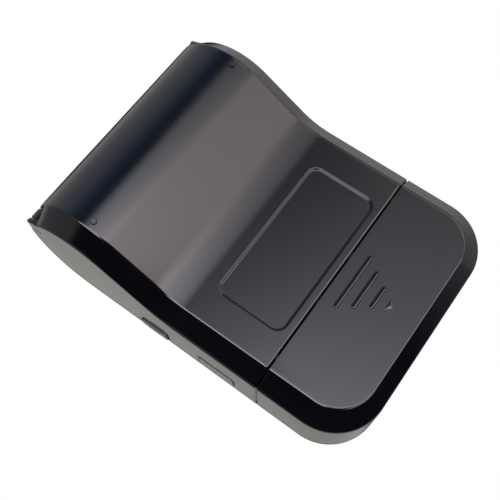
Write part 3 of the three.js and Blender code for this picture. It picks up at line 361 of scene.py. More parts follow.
# Lower shell
def underside(inset):
    sweep = (SEAM_Y + FLAT_LENGTH, -SWEEP_RADIUS)
    return [*arc(sweep, SWEEP_RADIUS + inset, QUARTER, QUARTER - SLOPE, ARC_STEPS),
            *arc((BAY_Y, BAY_Z), BAY_RADIUS - inset, -QUARTER - SLOPE, 0, BAY_STEPS)]


def underside_z(y):
    return BAY_Z - sqrt(BAY_RADIUS**2 - (y - BAY_Y) ** 2)


def section(y, z, inset, top, tipped=True):
    """Flat underside, the bevels on both sides and the side walls, where the case is cut across."""
    half = SIDE_X - inset
    flat = HALF_FLAT - inset * BEVEL_RUN / (BEVEL_RUN + BEVEL_RISE)
    side_z = z + (half - flat) * BEVEL_RISE / BEVEL_RUN
    tip_y = CASE_LENGTH - TIP_RUN
    if tipped and inset < WALL and y > tip_y:
        tip_start_z = underside_z(tip_y) + BEVEL_RISE
        side_z = min(side_z, tip_start_z + (TIP_Z - tip_start_z) * (y - tip_y) / TIP_RUN)
    corners = [(-half, top), (-half, side_z), (-flat, z), (flat, z), (half, side_z), (half, top)]
    eased = ease(corners, {1: SIDE_EASE, 2: CREASE_EASE, 3: CREASE_EASE, 4: SIDE_EASE})
    return [(x, y, height) for x, height in eased]


def shell_outer():
    start = [section(SHELL_Y + run, inset, inset, SIDE_TOP, False) for run, inset in SEAM_PROFILE]
    return loft([*start, *[section(y, z, 0, SIDE_TOP) for y, z in underside(0)]])


def shell_hollow():
    stations = [(TRAY_END_Y, WALL), *underside(WALL)]
    return loft([section(y, z, WALL, SIDE_TOP + OVERRUN) for y, z in stations])


def cheek_end(semi_y, semi_z, angle):
    share = 2 / CHEEK_POWER
    return (BAY_Y + semi_y * max(cos(angle), 0) ** share, semi_z * max(sin(angle), 0) ** share)


def cheek_path(semi_y, semi_z):
    turns = [QUARTER - QUARTER / BAY_STEPS * k for k in range(BAY_STEPS + 1)]
    return [cheek_end(semi_y, semi_z, max(turn, 0)) for turn in turns]


def end_outline(half, front_y, radius, end_y):
    return [
        (-half, end_y),
        *arc((-half + radius, front_y + radius), radius, 2 * QUARTER, 3 * QUARTER, CORNER_STEPS),
        *arc((half - radius, front_y + radius), radius, 3 * QUARTER, 4 * QUARTER, CORNER_STEPS),
        (half, end_y),
    ]


def offset_loft(outline_at, steps):
    """A form through (outward, z) steps of an outline that can be set out or in."""
    return loft([levelled(outline_at(outward), z) for outward, z in steps])


LABEL = Sizes(width=46.8, height=21.1, start_y=32.3, radius=3, depth=0.5)
RIM_TURN = radians(56)
RIM_STEPS = 7


def soft_rim(depth):
    """The wall of a shallow recess as two equal arcs: how far outward it stands at each height."""
    radius = depth / 2 / (1 - cos(RIM_TURN))
    outer = [(radius * (sin(RIM_TURN) - sin(a)), radius * (1 - cos(a))) for a in fan(RIM_TURN, RIM_STEPS)]
    return [*outer, *[(-out, depth - z) for out, z in reversed(outer[:-1])]]


LABEL_RIM = soft_rim(LABEL.depth)
BULKHEAD = Sizes(thickness=1.65, top=19.6)
TRAY_END_Y = SHELL_Y + BULKHEAD.thickness
TRAY = Sizes(ceiling=18.2, bay_half=27.8, side=1.4, side_y=9, foot=2.3)
TRAY_FRONT = Sizes(y=3.4, half=24, base=5)
LEDGE = Sizes(z=9, outer_x=34)
RAIL = Sizes(inner_x=33, z=10.5, thickness=1.2, start_y=13, end_y=22)
SCREW = Sizes(head_radius=1.9, head_height=1.2, radius=0.9, hole=1.2, boss_radius=2.5)
CASE_SCREW_X = 31.5
CASE_SCREW_YS = (9.5, 25.5)
MECH_SCREW = Sizes(x=24, y=PLATEN.y - 4.9, boss_top=1.9, shank_base=1.2)
BAY_WALL = Sizes(x=29.6, thickness=1.4, start_y=BAY_Y - 16.2, shoulder_y=BAY_Y + 6.8, top=12)
HINGE_EAR = Sizes(start_y=BAY_Y + 9.3, top=5.4)
BOARD_END_Y = COVER_Y - 11.5
PORT = Sizes(start_y=BOARD_END_Y - 14.9, length=12, base=16.6, height=5.8, depth=1, proud=0.2)
SOCKET = Sizes(width=8.4, height=2.5, top=20.1)
BUTTON = Sizes(y=PLATEN.y - 2.4, length=9.6, base=19.5, height=4.2, proud=0.5)
PIN_SLOT = Sizes(y=HINGE_Y - 1.2, length=2.8, z=3.3, height=0.6)
BOARD_POST = Sizes(radius=1.8, x=22, y=26)
BOARD_BASE = 20.4
SOCKET_Y = PORT.start_y + PORT.length / 2
WINDOW_RADIUS = 0.9


def nubs():
    def nub(side):
        post = turned_z([(-WALL - NUB.height, NUB.radius), (-NUB.edge, NUB.radius),
                         (0, NUB.radius - NUB.edge)], 0, 0)
        turn = Matrix.Translation((side * NUB.x, BAY_Y, BAY_Z)) @ Matrix.Rotation(-TILT, 4, "X")
        down = Matrix.Translation((0, 0, -NUB_REACH)) @ Matrix.Rotation(pi, 4, "X")
        post.data.transform(turn @ down)
        return post

    return mirrored(nub)


def battery_tray():
    outline = end_outline(INSIDE_X, WALL + GAP, CORNER_RADIUS - WALL - GAP, TRAY_END_Y)
    ceiling = prism_z(outline, TRAY.ceiling, BULKHEAD.top)
    sides = blocks(span(TRAY.bay_half, TRAY.side), (TRAY.side_y, TRAY_END_Y), (TRAY.foot, BULKHEAD.top))
    front = block((-TRAY_FRONT.half, TRAY_FRONT.half), span(TRAY_FRONT.y, TRAY.side),
                  (TRAY_FRONT.base, BULKHEAD.top))
    ledges = blocks((TRAY.bay_half, LEDGE.outer_x), (RAIL.start_y, RAIL.end_y), (LEDGE.z, RAIL.z - GAP))
    posts = rods_z(BOARD_POST.radius, BOARD_POST.x, BOARD_POST.y, TRAY.ceiling, BOARD_BASE - GAP)
    return join(ceiling, sides, front, ledges, posts)


def case_screw_rods(radius, z0, z1):
    return mirrored(lambda side: join(*[
        rod_z(radius, side * CASE_SCREW_X, y, z0, z1) for y in CASE_SCREW_YS]))


def rear_relief():
    far, above = CASE_LENGTH + 2 * OVERRUN, DOME_Z + OVERRUN
    outline = [
        (BAY_Y, above), (BAY_Y, BAY_Z), (HINGE_Y, HINGE_Z + HINGE_RELIEF),
        *arc((HINGE_Y, HINGE_Z), HINGE_RELIEF, QUARTER, 0, ARC_STEPS)[1:],
        (far, HINGE_Z), (far, above),
    ]
    return prism_x(outline, -WALL_X, WALL_X)


def bay_partitions():
    ear = [(HINGE_EAR.start_y, BELOW_Z), (CASE_LENGTH, BELOW_Z), (CASE_LENGTH, HINGE_EAR.top),
           (HINGE_EAR.start_y, HINGE_EAR.top)]
    outline = [(BAY_WALL.start_y, BELOW_Z), *ear[1:], (BAY_WALL.shoulder_y, BAY_WALL.top),
               (BAY_WALL.start_y, BAY_WALL.top)]
    walls = mirrored(lambda side: join(
        prism_x(outline, side * BAY_WALL.x, side * (BAY_WALL.x + BAY_WALL.thickness)),
        prism_x(ear, side * BAY_WALL.x, side * EAR_OUTER_X)))
    return keep(walls, shell_outer())


def corner_notches(side):
    x = (side * EAR_OUTER_X, side * SKIN_X)
    high = SIDE_TOP - OVERRUN
    return join(
        block(x, (CASE_LENGTH - NOTCH_LENGTH, PAST_END_Y), (BELOW_Z, high)),
        block(x, (CASE_LENGTH - ARM_LENGTH, PAST_END_Y), (HINGE_Z - KNUCKLE - 2 * GAP, high)),
    )


def side_window(y, z, depth_x):
    """A rounded window through the right side wall whose edge is eased outside."""
    outline = grown(y, z, WINDOW_RADIUS)
    return loft([upright(outline(outward), x) for outward, x in mouth(depth_x, SIDE_X)])


def port_recess():
    recess = side_window(span(PORT.start_y, PORT.length, GAP), span(PORT.base, PORT.height, GAP),
                         SIDE_X - PORT.depth - GAP / 2)
    window = block(THROUGH_WALL, about(SOCKET_Y, SOCKET.width, GAP),
                   (SOCKET.top - SOCKET.height - GAP, SOCKET.top + GAP))
    return join(recess, window)


def cheek_bounds():
    """Everything inside the side walls' outline, with its outer edges eased, and the bay between them."""
    def outline(inset):
        curve = cheek_path(BAY_RADIUS - GAP - inset, SIDE_TOP - inset)
        return [
            (-OVERRUN, BELOW_Z), (PAST_END_Y, BELOW_Z), (BAY_Y + BAY_RADIUS - GAP - inset, 0),
            *reversed(curve[:-1]), (-OVERRUN, SIDE_TOP - inset),
        ]

    stations = [(SIDE_X + PROUD - run, inset) for run, inset in EDGE_PROFILE]
    rings = [*[(-x, inset) for x, inset in stations], *reversed(stations)]
    cheeks = loft([upright(outline(inset), x) for x, inset in rings])
    middle = block((-EAR_OUTER_X, EAR_OUTER_X), (-OVERRUN, PAST_END_Y), (BELOW_Z, BAY_Z))
    return join(cheeks, middle)


def label_recess():
    outline = grown(about(0, LABEL.width), span(LABEL.start_y, LABEL.height), LABEL.radius, 16)
    return offset_loft(outline, [(LABEL_RIM[0][0], -OVERRUN), *LABEL_RIM])


def lower_shell():
    shell = cut(
        shell_outer(),
        shell_hollow(),
        block((-WALL_X, WALL_X), (SHELL_Y - OVERRUN, TRAY_END_Y + OVERRUN),
              (BULKHEAD.top, SIDE_TOP + OVERRUN)),
    )
    bosses = keep(rods_z(SCREW.boss_radius, MECH_SCREW.x, MECH_SCREW.y, -BULGE_DEPTH, MECH_SCREW.boss_top),
                  shell_outer())
    whole = keep(join(shell, bay_partitions(), bosses), cheek_bounds())
    pocket = blocks((WALL_X - OVERRUN, SKIN_X), (CASE_LENGTH - ARM_LENGTH, PAST_END_Y),
                    (-OVERRUN, SIDE_TOP - OVERRUN))
    opened = cut(whole, rear_relief(), mirrored(corner_notches), pocket)
    filled = join(opened, nubs(), battery_tray())
    pin_holes = rods_x(PIN_RADIUS + CLEARANCE, BAY_WALL.x - OVERRUN, SIDE_X - CHEEK_SKIN / 2,
                       HINGE_Y, HINGE_Z)
    slots = blocks(THROUGH_WALL, span(PIN_SLOT.y, PIN_SLOT.length), span(PIN_SLOT.z, PIN_SLOT.height))
    key_window = side_window(about(BUTTON.y, BUTTON.length, GAP), span(BUTTON.base, BUTTON.height, GAP),
                             WALL_X - OVERRUN)
    screw_holes = rods_z(SCREW.hole, MECH_SCREW.x, MECH_SCREW.y, 0, MECH_SCREW.boss_top + OVERRUN)
    tray_holes = case_screw_rods(SCREW.hole, TRAY.ceiling - OVERRUN, BULKHEAD.top + OVERRUN)
    return cut(filled, label_recess(), pin_holes, slots, key_window, screw_holes, port_recess(), tray_holes)


# Battery door
GRIP = Sizes(count=3, spacing=3.9, first=4.7, longest=18.2, shorter=5.3, foot=0.72, crest_y=-0.24, height=0.3,
             end=0.75, power=0.9, steps=8)
GRIP_LEVELS = (0, 0.2, 0.4, 0.6, 0.76, 0.86, 0.91)
RIB_TIP = Sizes(y=15.6, size=2.1, ease=0.5)
TIP_LEVELS = ((1.05, -1), (1, 0), (0.46, 0.9), (0.36, 1))
CAP_REACH = Sizes(flat=4, top=1)


def grip_ribs():
    def rib(k):
        half = (GRIP.longest - GRIP.shorter * k) / 2
        y = SEAM_Y - GRIP.first - GRIP.spacing * k
        rings = [levelled(stadium(half, GRIP.foot, (0, y), GRIP.steps), GAP)]
        for share in GRIP_LEVELS:
            far = GRIP.foot + (GRIP.crest_y - GRIP.foot) * share
            near = -GRIP.foot + (GRIP.crest_y + GRIP.foot) * share
            across = (far - near) / 2
            outline = stadium(half - (GRIP.foot - across) * GRIP.end, across, (0, y + (far + near) / 2),
                              GRIP.steps)
            rings.append(levelled(outline, -GRIP.height * sin(QUARTER * share) ** GRIP.power))
        return loft(rings)

    tip_y = SEAM_Y - RIB_TIP.y
    size = RIB_TIP.size
    middle = Vector((0, tip_y - size / 3))
    corners = [Vector(c) for c in ((0, tip_y - size), (size, tip_y), (-size, tip_y))]

    def tip(share):
        return ease([middle + (c - middle) * share for c in corners], dict.fromkeys(range(3), RIB_TIP.ease))

    rings = [levelled(tip(share), GAP if rise < 0 else -GRIP.height * rise) for share, rise in TIP_LEVELS]
    return [*[rib(k) for k in range(GRIP.count)], loft(rings)]


def door_outer():
    profile = ease(
        [(-CAP_REACH.flat, 0), (0, 0), (BEVEL_RUN, BEVEL_RISE), (BEVEL_RUN, SIDE_TOP),
         (BEVEL_RUN - CAP_REACH.top, SIDE_TOP)],
        {1: CREASE_EASE, 2: SIDE_EASE, 3: EDGE})

    def ring(outward):
        share = outward / BEVEL_RUN
        radius = CREASE_RADIUS + (CORNER_RADIUS - CREASE_RADIUS) * share
        return end_outline(HALF_FLAT + outward, END_RUN * (1 - share), radius, DOOR_Y)

    bar = loft([section(y, inset, inset, SIDE_TOP + OVERRUN, False) for y, inset in end_stations(DOOR_Y)])
    return keep(offset_loft(ring, profile), bar)


def door_hollow():
    flat = HALF_FLAT - WALL * BEVEL_RUN / (BEVEL_RUN + BEVEL_RISE)
    rise = (WALL_X - flat) * BEVEL_RISE / BEVEL_RUN
    front = END_RUN + WALL * END_RUN / (END_RUN + BEVEL_RISE)
    side = (WALL_X, WALL, CORNER_RADIUS - WALL)
    rings = [((flat, front, CREASE_RADIUS), WALL), (side, WALL + rise), (side, SIDE_TOP + OVERRUN)]
    return loft([levelled(end_outline(*outline, DOOR_Y + OVERRUN), z) for outline, z in rings])


def battery_door():
    rails = blocks((RAIL.inner_x, WALL_X + GAP), (RAIL.start_y, RAIL.end_y), span(RAIL.z, RAIL.thickness))
    return join(cut(door_outer(), door_hollow()), rails, *grip_ribs())


# Upper housing
SHOULDER = [(1 - max(cos(a), 0) ** (2 / SHOULDER_POWER), sin(a) ** (2 / SHOULDER_POWER))
            for a in fan(QUARTER, SHOULDER_STEPS)]
HOUSING_LIP = 1.2


def housing_ring(inset, end_y, z):
    return levelled(end_outline(SIDE_X - inset, inset, CORNER_RADIUS - inset, end_y), z)


def shoulder_rings(wall, end_y):
    height = FACE_Z - wall - HOUSING_Z
    return [housing_ring(wall + inward * (SHOULDER_RUN - wall), end_y, HOUSING_Z + rise * height)
            for inward, rise in SHOULDER]


def housing_outer():
    def across(y, inset):
        half, height = SIDE_X - inset, FACE_Z - inset - HOUSING_Z
        left = [(-half + inward * SHOULDER_RUN, HOUSING_Z + rise * height) for inward, rise in SHOULDER]
        right = [(-x, z) for x, z in reversed(left)]
        return [(x, y, z) for x, z in [(-half, HOUSING_Z - 1), *left, *right, (half, HOUSING_Z - 1)]]

    rings = [housing_ring(inset, HOUSING_Y, HOUSING_Z + run) for run, inset in EDGE_PROFILE]
    return keep(loft([*rings, *shoulder_rings(0, HOUSING_Y)[1:]]),
                loft([across(y, inset) for y, inset in end_stations(HOUSING_Y)]))


def housing_hollow():
    end_y = HOUSING_Y - HOUSING_LIP
    return loft([housing_ring(WALL, end_y, HOUSING_Z - OVERRUN), *shoulder_rings(WALL, end_y)])


KEYS = Sizes(x=14, y=17, half_length=6, half_width=3.6, proud=0.6, flange=0.8, stem=1.5, edge=0.45, drop=0.55)
LENS = Sizes(radius=1.1, spacing=8, y=34, height=3.4, proud=0.1)
FACE_MOUTH = mouth(FACE_Z - WALL - OVERRUN, FACE_Z)


def key_outline(side, gap):
    centre = (side * KEYS.x, KEYS.y)
    return lambda out: stadium(KEYS.half_length + gap + out, KEYS.half_width + gap + out, centre)


def upper_housing():
    shell = cut(housing_outer(), housing_hollow())
    posts = case_screw_rods(SCREW.boss_radius, BULKHEAD.top + GAP, FACE_Z - WALL)
    head_room = block(
        (-PLATE_REACH, PLATE_REACH), (HOUSING_Y - HOUSING_LIP - OVERRUN, HOUSING_Y + OVERRUN),
        (HOUSING_Z - OVERRUN, SPRING_TOP + GAP))
    key_holes = mirrored(lambda side: offset_loft(key_outline(side, GAP), FACE_MOUTH))
    lens_holes = join(*[
        turned_z([(z, LENS.radius + GAP + out) for out, z in FACE_MOUTH], k * LENS.spacing, LENS.y)
        for k in (-1, 0, 1)])
    screw_holes = case_screw_rods(SCREW.hole, BULKHEAD.top, FACE_Z - WALL - 2 * SCREW.head_height)
    return cut(join(cut(shell, head_room), posts), key_holes, lens_holes, screw_holes)


# Paper cover
COVER = Sizes(wall=2, crown_radius=82, skirt=6, skirt_wall=1.8, skirt_start_y=BAY_Y - 16.7, end_share=0.09,
              flat_steps=24)
SLOT_HALF = TEAR.width / 2 + GAP
ARM = Sizes(inset=1, width=4.5, waist_z=11, top_z=15.4, edge=0.3)


def crown_z(y):
    crown = DOME_Z - COVER.crown_radius + sqrt(COVER.crown_radius ** 2 - (BAY_Y - y) ** 2)
    return max(crown, FACE_Z)


def cover_stations(inset, front_y, last_angle):
    stations = []
    for k in range(COVER.flat_steps):
        y = front_y + (BAY_Y - front_y) * k / COVER.flat_steps
        stations.append(((y, HOUSING_Z - inset), (y, crown_z(y) - inset)))
    semi_y, semi_z = BAY_RADIUS - inset, DOME_Z - inset - BAY_Z
    for k in range(BAY_STEPS + 1):
        angle = QUARTER + (last_angle - QUARTER) * k / BAY_STEPS
        side = cheek_end(BAY_RADIUS - inset, HOUSING_Z - inset, max(angle, 0))
        stations.append((side, (BAY_Y + semi_y * cos(angle), BAY_Z + semi_z * sin(angle))))
    return stations


def dome_ring(side, top, half, run, edge):
    low, high = Vector(side), Vector(top)
    height = (high - low).length
    left = [(-half + inset, rise / height) for rise, inset in EDGE_PROFILE] if edge else [(-half, 0)]
    left += [(-half + inward * run, rise) for inward, rise in SHOULDER[1:]]
    over = [*left, *[(-x, rise) for x, rise in reversed(left)]]
    return [(x, *(low + (high - low) * rise)) for x, rise in over]


def cover_dome():
    end_angle = COVER.end_share * QUARTER
    front_y = HOUSING_Y + GAP
    stations = cover_stations(0, front_y + EDGE, end_angle)
    side, top = stations[0]
    start = [dome_ring((front_y + run, side[1]), (front_y + run, top[1] - inset), SIDE_X - inset,
                       SHOULDER_RUN, True) for run, inset in EDGE_PROFILE[:-1]]
    return loft([*start, *[dome_ring(low, high, SIDE_X, SHOULDER_RUN, True) for low, high in stations]])


def cover_hollow():
    inset = COVER.wall
    half = INSIDE_X - COVER.skirt_wall
    rings = []
    for side, top in cover_stations(inset, COVER_Y + inset, 0):
        down = (Vector(side) - Vector(top)).normalized() * DOME_Z
        below = Vector(side) + down
        ring = dome_ring(side, top, half, SHOULDER_RUN - inset, False)
        rings.append([*ring, (half, *below), (-half, *below)])
    return loft(rings)


def platen_ear(side):
    y, z, radius = PLATEN.y, PLATEN.z, PLATEN.wall_radius
    top = crown_z(y) - COVER.wall / 2
    outline = [
        *arc((y, z), radius, -pi, 0, SMALL_SIDES), (y + radius, top),
        (y - radius + COVER.wall, top), (y - radius, SPRING_TOP),
    ]
    return prism_x(outline, side * (PLATE.inner_x - GAP), side * (PLATE.inner_x + PLATE.thickness))


def cover_rear_y(z):
    return BAY_Y + BAY_RADIUS * sqrt(1 - ((z - BAY_Z) / (DOME_Z - BAY_Z)) ** 2)


def hinge_arm(side):
    rear = [(cover_rear_y(z) - ARM.inset, z) for z in (BAY_Z, ARM.waist_z, ARM.top_z)]
    front = [(y - ARM.width, z) for y, z in reversed(rear[1:])]
    outline = [(HINGE_Y - KNUCKLE, HINGE_Z), (HINGE_Y + KNUCKLE, HINGE_Z), *rear, *front]
    low, high = sorted((side * KNUCKLE_X, side * (SKIN_X - GAP)))
    start = [(low + ARM.edge * (1 - sin(a)), KNUCKLE - ARM.edge * (1 - cos(a)))
             for a in (QUARTER, QUARTER / 2, 0)]
    end = [(low + high - x, radius) for x, radius in reversed(start)]
    return join(prism_x(outline, low, high), turned_x([*start, *end], HINGE_Y, HINGE_Z, KNUCKLE_SIDES))


def slot_cutter():
    steps = [(0, 0), (0, FACE_Z - EDGE), (2 * EDGE + PROUD, FACE_Z + EDGE + PROUD),
             (2 * EDGE + PROUD, DOME_Z)]
    rings = []
    for out, z in steps:
        half, far = SLOT_HALF + out, COVER_Y + out
        near = HOUSING_Y
        rings.append([(-half, near, z), (half, near, z), (half, far, z), (-half, far, z)])
    return loft(rings)


def paper_cover():
    inner = cheek_path(BAY_RADIUS - COVER.skirt, HOUSING_Z - COVER.skirt)
    band = prism_x([
        (COVER.skirt_start_y, HOUSING_Z + GAP), *cheek_path(BAY_RADIUS, HOUSING_Z),
        (CASE_LENGTH - COVER.skirt, 0), *reversed(inner[:-1]), (COVER.skirt_start_y, HOUSING_Z - COVER.skirt),
    ], -INSIDE_X, INSIDE_X)
    open_half = SHAFT.end_x + 2 * GAP
    opening = block((-open_half, open_half), (HOUSING_Y, COVER_Y + 2 * COVER.wall),
                    (0, PLATEN.z + GEAR_ROOM))
    outer = SIDE_X + 1
    relief = rod_x(HINGE_RELIEF + GAP, -outer, outer, HINGE_Y, HINGE_Z, ROUND_SIDES)
    below = block((-outer, outer), (BAY_Y, PAST_END_Y), (-OVERRUN, HINGE_Z))
    gear_room = rod_x(GEAR_ROOM, -PLATE_REACH, -open_half, PLATEN.y, PLATEN.z, ROUND_SIDES)
    shell = cut(join(cover_dome(), band), cover_hollow(), slot_cutter(), opening, gear_room, relief, below)
    whole = join(shell, hinge_arm(1), hinge_arm(-1), platen_ear(1), platen_ear(-1))
    pin_holes = rods_x(PIN_RADIUS + CLEARANCE, EAR_OUTER_X, SIDE_X, HINGE_Y, HINGE_Z)
    bush_holes = rods_x(BUSH_RADIUS + CLEARANCE, PLATE.inner_x - OVERRUN,
                        PLATE.inner_x + 2 * PLATE.thickness, PLATEN.y, PLATEN.z)
    return cut(whole, pin_holes, bush_holes)


# Small pieces, each where its CAD solid is
STEM_BASE = 25.3
FLANGE_TOP = FACE_Z - WALL - GAP
CAP_TOP = FACE_Z + KEYS.proud
CAP_CROWN = ((-1.2, 0.04), (-2, 0))
MARK = Sizes(height=0.08, ring=1.5, hole=1.2, opening=0.5, bar_half=0.15, bar=(0.2, 1.7), half=1.3, foot=0.4,
             line=0.9)
LENS_CROWN = ((0.3, 0), (0.14, 0.06), (0.05, 0.24), (0, 0.6))
SOFT_STEPS = 5


def key_mark(side, centre):
    """A raised sign: a broken ring with a bar for power, an arrow head over a bar for feed."""
    x, y = centre
    high = CAP_TOP + MARK.height
    z, through = (CAP_TOP - GAP, high), (CAP_TOP - GAP - 1, high + 1)
    if side < 0:
        ring = cut(rod_z(MARK.ring, x, y, *z), rod_z(MARK.hole, x, y, *through),
                   block((x - MARK.opening, x + MARK.opening), (y, y + 2), through))
        return join(ring, block((x - MARK.bar_half, x + MARK.bar_half), [y + end for end in MARK.bar], z))
    half = MARK.half
    arrow = prism_z([(x - half, y - MARK.foot), (x + half, y - MARK.foot), (x, y + half)], *z)
    return join(arrow, block((x - half, x + half), (y - half, y - MARK.line), z))


def key_cap(side):
    centre = (side * KEYS.x, KEYS.y)
    steps = [
        (KEYS.flange, FLANGE_TOP - KEYS.flange), (KEYS.flange, FLANGE_TOP), (0, FLANGE_TOP),
        *[(-KEYS.edge * (1 - cos(a)), CAP_TOP - KEYS.drop + KEYS.edge * sin(a))
          for a in fan(QUARTER, SOFT_STEPS)],
        *[(out, CAP_TOP - drop) for out, drop in CAP_CROWN],
    ]
    cap = offset_loft(key_outline(side, 0), steps)
    return join(cap, rod_z(KEYS.stem, *centre, STEM_BASE, FLANGE_TOP - GAP), key_mark(side, centre))


def lens(k):
    top = FACE_Z + LENS.proud
    crown = [(top - drop, LENS.radius - inward) for drop, inward in LENS_CROWN]
    return turned_z([(top - LENS.height, LENS.radius), *crown], k * LENS.spacing, LENS.y)


def soft_bar_x(outline_at, x0, x1, edge, both=False):
    """A bar along x whose outline is eased in at its far end, or at both ends."""
    rounding = edge_profile(edge, SOFT_STEPS)
    far = [(x1 - run if x1 > x0 else x1 + run, inset) for run, inset in reversed(rounding)]
    near = [(x0 + run, inset) for run, inset in rounding] if both else [(x0, 0)]
    return loft([upright(outline_at(-inset), x) for x, inset in [*near, *far]])


FLAP = Sizes(radius=0.6, edge=0.3, notch=1.6, notch_out=1.5, notch_depth=0.9)
PLUG = Sizes(width=6, height=1.4, radius=0.6, depth=1.1)


def port_cover():
    recess_x = SIDE_X - PORT.depth
    top = PORT.base + PORT.height
    outline = grown(span(PORT.start_y, PORT.length), (PORT.base, top), FLAP.radius, follow=0)
    flap = soft_bar_x(outline, recess_x + GAP / 2, SIDE_X + PORT.proud, FLAP.edge)
    notch = rod_z(FLAP.notch, SIDE_X + FLAP.notch_out, SOCKET_Y, top - FLAP.notch_depth, top + OVERRUN)
    plug = round_oblong(about(SOCKET_Y, PLUG.width), about(SOCKET.top - SOCKET.height / 2, PLUG.height),
                             PLUG.radius)
    return join(cut(flap, notch), prism_x(plug, recess_x - PLUG.depth, recess_x + GAP))


KEY = Sizes(radius=0.6, edge=0.4)
GROOVE = Sizes(radius=0.45, out=0.27, spacing=1.5, inset=0.7)
STOP = Sizes(thickness=1.3, wider=1, below=8.1, above=2.5)
LIFT = Sizes(length=2.2, width=3, below=3.9, height=2.1)


def release_button():
    y, z = about(BUTTON.y, BUTTON.length), span(BUTTON.base, BUTTON.height)
    near, face = INSIDE_X - STOP.thickness, SIDE_X + BUTTON.proud
    key = soft_bar_x(grown(y, z, KEY.radius, follow=0), near + GAP, face, KEY.edge)
    grooves = [rod_z(GROOVE.radius, face + GROOVE.out, BUTTON.y + k * GROOVE.spacing, z[0] + GROOVE.inset,
                     z[1] - GROOVE.inset) for k in (-1, 0, 1)]
    stop = block((near, INSIDE_X), (y[0] - STOP.wider, y[1] + STOP.wider),
                 (PLATEN.z - STOP.below, PLATEN.z + STOP.above))
    lift = block(span(SHAFT.end_x, LIFT.length), about(PLATEN.y, LIFT.width),
                 span(PLATEN.z - LIFT.below, LIFT.height))
    return join(cut(key, *grooves), stop, lift)


# The roll's paper ends after one turn that steps in by its winding; its loose end is at the angle start
ROLL = Sizes(y=BAY_Y - GAP / 2, z=BAY_Z + GAP, radius=BAY_RADIUS - WALL - 0.2, width=57, core=7.6, step=0.16,
             sides=180, tail=0.02, start=2.2, edge=0.12)


def paper_roll():
    turn = 2 * pi / ROLL.sides

    def outline(out):
        points = []
        for k in range(ROLL.sides + 1):
            radius = ROLL.radius - ROLL.step * k / ROLL.sides + out
            angle = turn * min(k, ROLL.sides - ROLL.tail) + ROLL.start
            points.append((ROLL.y + radius * cos(angle), ROLL.z + radius * sin(angle)))
        return points

    half = ROLL.width / 2
    bore = rod_x(ROLL.core + CLEARANCE, -half - 1, half + 1, ROLL.y, ROLL.z, ROUND_SIDES)
    return cut(soft_bar_x(outline, -half, half, ROLL.edge, True), bore)


def platen_roller():
    half = PLATEN.length / 2
    place = (PLATEN.y, PLATEN.z)

    def outline(out):
        return ring_of(PLATEN.radius + out, ROUND_SIDES, place)

    return cut(soft_bar_x(outline, -half, half, PLATEN.edge, True),
               rod_x(SHAFT.radius + CLEARANCE, -half - 1, half + 1, *place))


CELL = Sizes(half=27.4, y=(5.1, 27.8), z=(2.2, 17.8), radius=3, steps=12, edge=0.8)


def battery_pack():
    return soft_bar_x(grown(CELL.y, CELL.z, CELL.radius, CELL.steps), -CELL.half, CELL.half, CELL.edge, True)


# Shares of a screw head's height and radius, from its seat to its top
SCREW_CROWN = ((0, 1), (0.45, 1), (0.75, 0.93), (0.93, 0.75), (1, 0.5))
THREAD = Sizes(step=0.25, depth=0.16, tip=0.25)
CROSS = Sizes(reach=1, half=0.2, depth=0.65)


def screw(x, y, seat, toward, length):
    """A pan head with a cross recess on a threaded shank, from its seat towards one side."""
    height, radius = toward * SCREW.head_height, SCREW.radius
    crown = [(seat - height * share, SCREW.head_radius * part) for share, part in SCREW_CROWN]
    turns = int(length / THREAD.step)
    shank = [
        (seat - toward * GAP, radius),
        *[(seat + toward * length * k / turns, radius - (THREAD.depth if k % 2 else 0))
          for k in range(1, turns)],
        (seat + toward * length, radius - THREAD.tip),
    ]
    top = seat - height
    deep = sorted((top + toward * CROSS.depth, top - toward))
    arms = join(*[block((x - across, x + across), (y - along, y + along), deep)
                  for across, along in ((CROSS.reach, CROSS.half), (CROSS.half, CROSS.reach))])
    return join(cut(turned_z(sorted(crown), x, y), arms), turned_z(sorted(shank), x, y))


BAR_TOP = 3.8
BOARD_TOP = BOARD_BASE + 1.2
SCREW_LENGTH = Sizes(case=6.5, mech=BAR_TOP + GAP - MECH_SCREW.shank_base, board=1.6 - GAP)
SCREWS = {
    **{f"case_screw_{k + 1}": (side * CASE_SCREW_X, CASE_SCREW_YS[k % 2], TRAY.ceiling - GAP, 1,
                               SCREW_LENGTH.case)
       for k, side in enumerate((-1, -1, 1, 1))},
    **{f"mech_screw_{k + 1}": (side * MECH_SCREW.x, MECH_SCREW.y, BAR_TOP + GAP, -1, SCREW_LENGTH.mech)
       for k, side in enumerate((-1, 1))},
    **{f"board_screw_{k + 1}": (side * BOARD_POST.x, BOARD_POST.y, BOARD_TOP + GAP, -1, SCREW_LENGTH.board)
       for k, side in enumerate((-1, 1))},
}


# Materials
def feed(tree, socket, value):
    if isinstance(value, bpy.types.NodeSocket):
        tree.links.new(value, socket)
    else:
        socket.default_value = value


def new_node(tree, kind, *values, **settings):
    """A node with its inputs set or linked, in order or as in_Name, and its properties by name."""
    made = tree.nodes.new(kind)
    for name, value in settings.items():
        if not name.startswith("in_"):
            setattr(made, name, value)
    for name, value in settings.items():
        if name.startswith("in_"):
            feed(tree, made.inputs[name[3:].replace("_", " ")], value)
    for socket, value in zip(made.inputs, values):
        feed(tree, socket, value)
    return made


def node(tree, kind, *values, out=0, **settings):
    return new_node(tree, kind, *values, **settings).outputs[out]


def new_material(name):
    made = bpy.data.materials.new(name)
    made.use_nodes = True
    return made, made.node_tree, made.node_tree.nodes["Principled BSDF"]


NOISE_SPAN = (0.3, 0.7)
BUMP_DEPTH = 0.00002
LEAST_ROUGHNESS = 0.02


